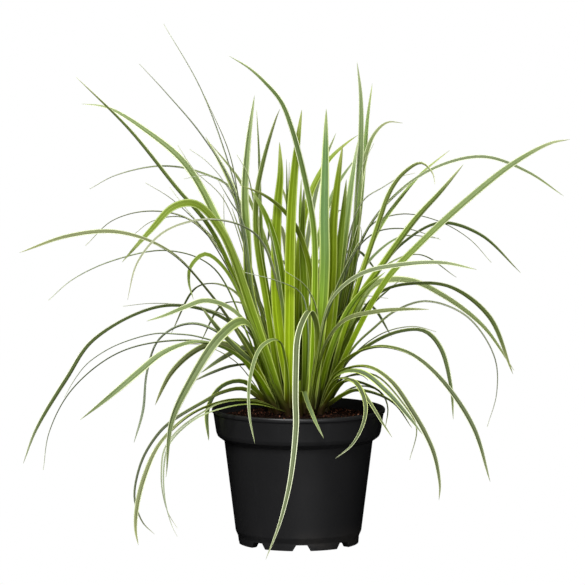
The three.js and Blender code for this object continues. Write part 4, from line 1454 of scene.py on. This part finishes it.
@dataclass
class Clump:
    """All the shoots: where their roots are, how their leaves are set, and how fine they are made.

    swings are the degrees that a leaf may be swung about its root in the frame, in the order of trial.
    """

    shoots: Sequence[Shoot]
    material: bpy.types.Material
    root_height: float = 147
    root_start: float = 4
    root_step: float = 2.5
    root_levels: int = 3
    least_slope: float = 0.1
    stem_radius: float = 4.2
    stem_top: float = 1.6
    stem_rise: float = 40
    stem_low: float = 133
    stem_shoulder: float = 2
    stem_green: float = 50
    stem_streak: float = 0.8
    stem_rows: int = 18
    stem_steps: int = 8
    stem_lean_at: float = 0.25
    lamina: float = 0.3
    shoulder: float = 1.75
    wing_power: float = 2.2
    across_power: float = 1.3
    fold_at_root: float = 0.34
    fold_at_tip: float = 0.16
    taper_start: float = 5
    taper_power: float = 0.75
    root_width: float = 0.85
    root_growth: float = 2
    least_width: float = 0.02
    depth: float = 1.6
    # Where a root stands from front to back, which sets the painted shade and painted light of its leaves.
    deep_ends: Pair = (-18, 8)
    eye_distance: float = 6100
    drop_drawn: float = 0.146
    drop_low: float = 0.158
    drop_per_height: float = 0.000164
    swings: tuple[int, ...] = (0, 2, -2, 4, -4, 6, -6, 9, -9, 12, -12, 16, -16, 20, -20, 25, -25, 30, -30)
    tip_slack: float = 0.4
    station_gap: float = 6
    least_stations: int = 14
    tip_crowding: float = 1.15
    section_points: int = 20
    inner: RuleKind = RuleKind((Tone.GREEN,), (3, 12), (110, 230), (4, 20), (5, 7.5))
    far: RuleKind = RuleKind(
        (Tone.GREEN, Tone.OLIVE, Tone.PALE), (8, 30), (260, 400), (60, 150), (4.5, 7)
    )
    far_side: float = 15
    far_fan: float = 62
    far_turn: float = 8
    far_spread: float = 12
    rule_points: int = 4
    rule_steps: int = 24
    rule_bend: float = 1.4

    def draws(self) -> Iterator[float]:
        """Gives a repeatable stream of numbers.

        Yields:
            Numbers from 0 to 1.
        """
        factor, step, span = 1664525, 1013904223, 2 ** 32
        state = SEED
        while True:
            state = (state * factor + step) % span
            yield state / span

    def leaf_by_rule(
        self, foot: Pair, heading: float, kind: RuleKind, tone: Tone, draws: Iterator[float]
    ) -> Leaf:
        """Grows a leaf that leans from upright towards a heading and droops more and more.

        Args:
            foot: The place of its root.
            heading: The direction that it leans to, in radians.
            kind: The ranges of its sizes.
            tone: Its colours.
            draws: The stream of numbers that picks from the ranges.

        Returns:
            The leaf.
        """
        spans = (kind.lean, kind.length, kind.droop, kind.width)
        lean, length, droop, width = [low + (high - low) * next(draws) for low, high in spans]
        step = length / self.rule_steps
        way = []
        reach = 0.0
        height = self.root_height
        for i in range(1, self.rule_steps + 1):
            tilt = math.radians(lean + droop * ((i - 0.5) / self.rule_steps) ** self.rule_bend)
            reach += step * math.sin(tilt)
            height += step * math.cos(tilt)
            if i % (self.rule_steps // self.rule_points) == 0:
                deep = reach * math.sin(heading) / self.depth
                way.append((foot[0] + reach * math.cos(heading), foot[1] + deep, height))
        return Leaf(width, (0, 0), tone, tuple(way))

    def leaves_by_rule(self, foot: Pair, draws: Iterator[float]) -> list[Leaf]:
        """Grows the leaves that a shoot gets by rule.

        Args:
            foot: The place of the shoot's root.
            draws: The stream of numbers, which runs on from shoot to shoot.

        Returns:
            A short inner leaf, and the long arching ones of a shoot on the far side.
        """
        leaves = []
        outward = math.atan2(foot[1], foot[0])
        for tone in self.inner.tones:
            heading = outward + (next(draws) - 0.5) * math.pi
            leaves.append(self.leaf_by_rule(foot, heading, self.inner, tone, draws))
        if foot[1] > self.far_side:
            turn = self.far_turn if foot[0] < 0 else -self.far_turn
            for i, tone in enumerate(self.far.tones):
                fan = self.far_fan * ((i + 0.5) / len(self.far.tones) - 0.5)
                heading = math.radians(90 - fan + turn + self.far_spread * (next(draws) - 0.5))
                leaves.append(self.leaf_by_rule(foot, heading, self.far, tone, draws))
        return leaves

    def knots(self, foot: Pair, leaf: Leaf, swing: float) -> list[Vector]:
        """Gives the points of a leaf's midrib at their true depth and height.

        Args:
            foot: The place of the root.
            leaf: The leaf.
            swing: The degrees that it is swung about its root.

        Returns:
            The points from the root to the tip.
        """
        root = Vector((foot[0], foot[1], self.root_height))
        turn = Matrix.Rotation(math.radians(swing), 3, "Z")
        points = [root]
        for x, y, z in leaf.way:
            deep = root.y + (y - root.y) * self.depth
            wide = x * (self.eye_distance + deep) / (self.eye_distance + y)
            point = turn @ Vector((wide - root.x, deep - root.y, 0)) + Vector((root.x, root.y, z))
            point.z += self.drop_drawn * y - (self.drop_low - self.drop_per_height * z) * point.y
            points.append(point)
        return points

    def kept_swing(self, tips: KDTree, foot: Pair, leaf: Leaf) -> float | None:
        """Finds how the frame has a leaf swung.

        Args:
            tips: The corners of the shoot's CAD node, in millimetres.
            foot: The place of the root.
            leaf: The leaf.

        Returns:
            The swing in degrees, or None where the frame has no such leaf.
        """
        for swing in self.swings:
            tip = self.knots(foot, leaf, swing)[-1]
            if tips.find(tip)[2] < self.tip_slack:
                return swing
        return None

    def width_share(self, along: float) -> float:
        """Gives the width of a blade along its length, as a share of its greatest width."""
        taper = (1 - min(along, 1.0) ** self.taper_start) ** self.taper_power
        return max(taper * min(1.0, self.root_width + self.root_growth * along), self.least_width)

    def stations(
        self, curve: Midrib, leaf: Leaf, across: Vector, side: int, start: float, paint: Paint
    ) -> tuple[Station, ...]:
        """Sets the stations of a blade along its midrib.

        Args:
            curve: The midrib.
            leaf: The leaf.
            across: The level direction across it.
            side: 1 where the leaf heads right and -1 where it heads left.
            start: The share of the length at which it starts.
            paint: Its colours.

        Returns:
            The stations.
        """
        count = max(self.least_stations, round(curve.length / self.station_gap))
        out = []
        for i in range(count + 1):
            along = start + (1 - start) * (1 - (1 - i / count) ** self.tip_crowding)
            tangent = curve.tangent(along)
            turn = leaf.turn[0] + (leaf.turn[1] - leaf.turn[0]) * along ** 2
            flat = (across - tangent * across.dot(tangent)).normalized()
            flat.rotate(Matrix.Rotation(math.radians(turn * side), 3, tangent))
            width = leaf.width * self.width_share(along)
            fold = self.fold_at_root + (self.fold_at_tip - self.fold_at_root) * along
            out.append(Station(
                centre=curve.at(along),
                flat=flat,
                upper=flat.cross(tangent),
                half=width / 2,
                depth=width * fold,
                along=along,
                reach=along * curve.length,
                face=paint.side(paint.tone.upper, along),
                back=paint.side(paint.tone.under, along),
                rim=paint.rim(along),
            ))
        return tuple(out)

    def blade(
        self, foot: Pair, leaf: Leaf, swing: float, index: int, number: int, chance: random.Random
    ) -> Rail:
        """Sets out one blade.

        Args:
            foot: The place of the root.
            leaf: The leaf.
            swing: The degrees that it is swung about its root.
            index: Its place among the leaves of its shoot.
            number: Its own number among all leaves.
            chance: Draws the small differences between leaves.

        Returns:
            Its stations.
        """
        curve = Midrib(self.knots(foot, leaf, swing))
        slope = max(curve.tangent(Midrib.STEP).z ** 2, self.least_slope)
        start = (self.root_start + self.root_step * (index % self.root_levels)) * slope / curve.length
        tip = curve.at(1)
        heading = Vector((tip.x - foot[0], tip.y - foot[1], 0)).normalized()
        side = -1 if heading.x < 0 else 1
        tone = leaf.tone.value
        # How far back the shoot stands, which sets the painted shade and painted light of its leaves.
        deep = ease(foot[1], *self.deep_ends)
        paint = Paint(tone, curve.length, tip.z - self.root_height, deep, chance)
        stations = self.stations(curve, leaf, heading.cross(UP), side, start, paint)
        return Rail(stations, number, tone.streak, -side, 0)

    def stem(self, foot: Pair, leaves: Sequence[Leaf], number: int) -> Rail:
        """Sets out the stem of a shoot, a round bundle of leaf bases that leans with its leaves.

        Args:
            foot: The place of the root.
            leaves: All the leaves that could grow from it.
            number: The shoot's number.

        Returns:
            Its stations.
        """
        root = Vector((foot[0], foot[1], self.root_height))
        lean = Vector()
        for leaf in leaves:
            lean += Midrib(self.knots(foot, leaf, 0)).at(self.stem_lean_at) - root
        lean = lean.normalized() * self.stem_rise
        low = Vector((foot[0], foot[1], self.stem_low))
        curve = Midrib([low, root, root + lean / 2, root + lean], self.stem_steps)
        out = []
        for i in range(self.stem_rows + 1):
            along = i / self.stem_rows
            centre = curve.at(along)
            rise = centre.z - self.root_height
            green = ease(rise, 0, self.stem_green)
            tint = blend(green, Paint.HUSKS[0], Tone.FRESH.value.under)
            taper = ease(rise, self.stem_shoulder, lean.z)
            out.append(Station(
                centre=centre,
                flat=Vector((1, 0, 0)),
                upper=Vector((0, 1, 0)),
                half=self.stem_radius + (self.stem_top - self.stem_radius) * taper,
                depth=0,
                along=along,
                reach=along * curve.length,
                face=tint,
                back=tint,
                rim=(*tint[:3], 0.0),
            ))
        return Rail(tuple(out), number, self.stem_streak, 0, 1)

    def maker(self) -> Maker:
        """Builds the tree that grows the blades and stems on their lines.

        Returns:
            The tree.
        """
        make = Maker("Grow blades", {
            "Section Points": ("Int", self.section_points),
            "Thickness": ("Float", self.lamina * MM),
            "Shoulder": ("Float", self.shoulder),
            "Material": ("Material", self.material),
        })
        lines = make.node("GeometryNodeMeshToCurve", {"Mesh": make.given("Geometry")})
        inputs = {"Resolution": make.given("Section Points"), "Radius": 1.0}
        ring = make.node("GeometryNodeCurvePrimitiveCircle", inputs)
        ring = make.store(ring, "ring", make.node("GeometryNodeInputPosition"), "FLOAT_VECTOR")
        inputs = {"Curve": lines, "Profile Curve": ring, "Fill Caps": True}
        skin = make.node("GeometryNodeCurveToMesh", inputs)
        ring_x, ring_y = [make.part(make.named("ring", "FLOAT_VECTOR"), axis) for axis in "XY"]
        across = ring_x.sign() * abs(ring_x) ** self.across_power
        width = abs(across)
        shoulder = make.given("Shoulder")
        wing = shoulder * width + (1.0 - shoulder) * width ** self.wing_power
        blade_lift = make.named("depth") * wing + make.given("Thickness") * ring_y
        half = make.named("half")
        tube = make.named("tube")
        wide = half * (tube * ring_x + (1.0 - tube) * across)
        lift = tube * (half * ring_y) + (1.0 - tube) * blade_lift
        centre, flat, upper = [make.named(label, "FLOAT_VECTOR") for label in ("centre", "flat", "upper")]
        place = make.sum_of(make.sum_of(centre, make.scaled(flat, wide)), make.scaled(upper, lift))
        skin = make.node("GeometryNodeSetPosition", {"Geometry": skin, "Position": place})
        skin = make.store(skin, "across", across)
        skin = make.store(skin, "skin", ring_y)
        make.end(skin)
        return make

    def build(self) -> None:
        """Builds every shoot as one piece."""
        make = self.maker()
        draws = self.draws()
        extras = [self.leaves_by_rule(shoot.foot, draws) for shoot in self.shoots]
        number = 0
        for index, (shoot, extra) in enumerate(zip(self.shoots, extras), 1):
            node = f"shoot_{index:02d}"
            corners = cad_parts[node].data.vertices
            tips = KDTree(len(corners))
            for vertex in corners:
                tips.insert(vertex.co / MM, vertex.index)
            tips.balance()
            chance = random.Random(SEED + index)
            rails = [self.stem(shoot.foot, [*shoot.leaves, *extra], index)]
            for leaves in (shoot.leaves, extra):
                for place, leaf in enumerate(leaves):
                    number += 1
                    swing = self.kept_swing(tips, shoot.foot, leaf)
                    if swing is None:
                        log.info("%s: leaf %d isn't in the frame", node, place + 1)
                        continue
                    rails.append(self.blade(shoot.foot, leaf, swing, place, number, chance))
            piece = make.run(f"tuft_{index:02d}", rails_mesh(node + "_lines", rails))
            dress(piece, "leaf", node)


@dataclass(frozen=True)
class Lamp:
    """A square soft light: its place and the length of its sides in metres, and its power in watts.

    shine says whether glossy surfaces reflect it.
    """

    name: str
    place: Point
    size: float
    power: float
    shine: bool = True


@dataclass(frozen=True)
class Studio:
    """The pale floor, the soft lights and the camera."""

    camera_distance: float = 6100
    aim_height: float = 275.6
    elevation: float = 6.4
    focal_pixels: float = 5585
    centre_pixels: Pair = (298.5, 292.5)
    sensor_width: float = 36
    view_end: float = 100
    floor_radius: float = 12000
    floor_tint: Colour = colour("8c8c8c")
    black: Colour = colour("000000")
    white: Colour = colour("ffffff")
    ambient: float = 0.06
    lamps: tuple[Lamp, ...] = (
        Lamp("key", (-0.9, -2.4, 2.8), 1.2, 215),
        Lamp("fill", (0.8, -3.4, 0.8), 2.0, 80),
        Lamp("back", (0.8, 2.4, 2.2), 1.8, 140, shine=False),
    )

    def camera(self) -> None:
        """Sets up the camera."""
        lens = bpy.data.cameras.new("camera")
        lens.sensor_width = self.sensor_width
        lens.lens = self.focal_pixels / IMAGE_SIZE * self.sensor_width
        lens.shift_x = (IMAGE_SIZE / 2 - self.centre_pixels[0]) / IMAGE_SIZE
        lens.shift_y = (self.centre_pixels[1] - IMAGE_SIZE / 2) / IMAGE_SIZE
        lens.clip_end = self.view_end
        made = add_object("camera", lens)
        tilt = math.radians(self.elevation)
        reach = self.camera_distance
        made.location = Vector((0, -reach * math.cos(tilt), self.aim_height + reach * math.sin(tilt))) * MM
        made.rotation_euler = (math.radians(90) - tilt, 0, 0)
        bpy.context.scene.camera = made

    def light(self, lamp: Lamp) -> None:
        """Adds a light that faces the plant.

        Args:
            lamp: What it is like.
        """
        source = bpy.data.lights.new(lamp.name, "AREA")
        source.shape = "SQUARE"
        source.size = lamp.size
        source.energy = lamp.power
        made = add_object(lamp.name, source)
        made.location = lamp.place
        made.visible_glossy = lamp.shine
        aim = Vector((0, 0, self.aim_height * MM)) - Vector(lamp.place)
        made.rotation_euler = aim.to_track_quat("-Z", "Y").to_euler()

    def floor(self) -> None:
        """Lays the pale floor, which shows white and gives back little light."""
        reach = self.floor_radius
        corners = [Vector((x * reach, y * reach, 0)) for x, y in ((-1, -1), (1, -1), (1, 1), (-1, 1))]
        made = add_object("floor", mesh_of("floor", corners, [(0, 1, 2, 3)]))
        pale = Surface("pale_floor")
        tint = pale.mix(pale.ray("Glossy"), self.floor_tint, self.black)
        inputs = {"Base Color": tint, "Roughness": 1.0, "Specular IOR Level": 0.0}
        matt = pale.node("ShaderNodeBsdfPrincipled", inputs)
        lit = pale.node("ShaderNodeEmission", {"Color": self.white, "Strength": 1.0})
        made.data.materials.append(pale.finish(pale.either(pale.ray("Camera"), matt, lit)))

    def air(self) -> None:
        """Fills the studio with white air that lights the plant softly."""
        world = bpy.data.worlds.new("studio")
        bpy.context.scene.world = world
        world.use_nodes = True
        air = Graph(world.node_tree)
        strength = self.ambient * (1.0 - air.ray("Glossy"))
        soft, shown = [
            air.node("ShaderNodeBackground", {"Color": self.white, "Strength": value})
            for value in (strength, 1.0)
        ]
        air.node("ShaderNodeOutputWorld", {"Surface": air.either(air.ray("Camera"), soft, shown)})

    def build(self) -> None:
        """Sets up the whole studio."""
        self.camera()
        self.floor()
        self.air()
        for lamp in self.lamps:
            self.light(lamp)
        bpy.context.scene.view_settings.view_transform = "Standard"


def main() -> None:
    """Builds the studio, the pot, the peat and the shoots."""
    logging.basicConfig(level=logging.INFO, format="%(name)s: %(message)s")
    Studio().build()
    pot = Pot()
    pot.build(PotFinish().material())
    Soil(pot).build(SoilFinish().material(), BarkFinish().material())
    Clump(SHOOTS, LeafFinish().material()).build()


if __name__ == "__main__":
    main()
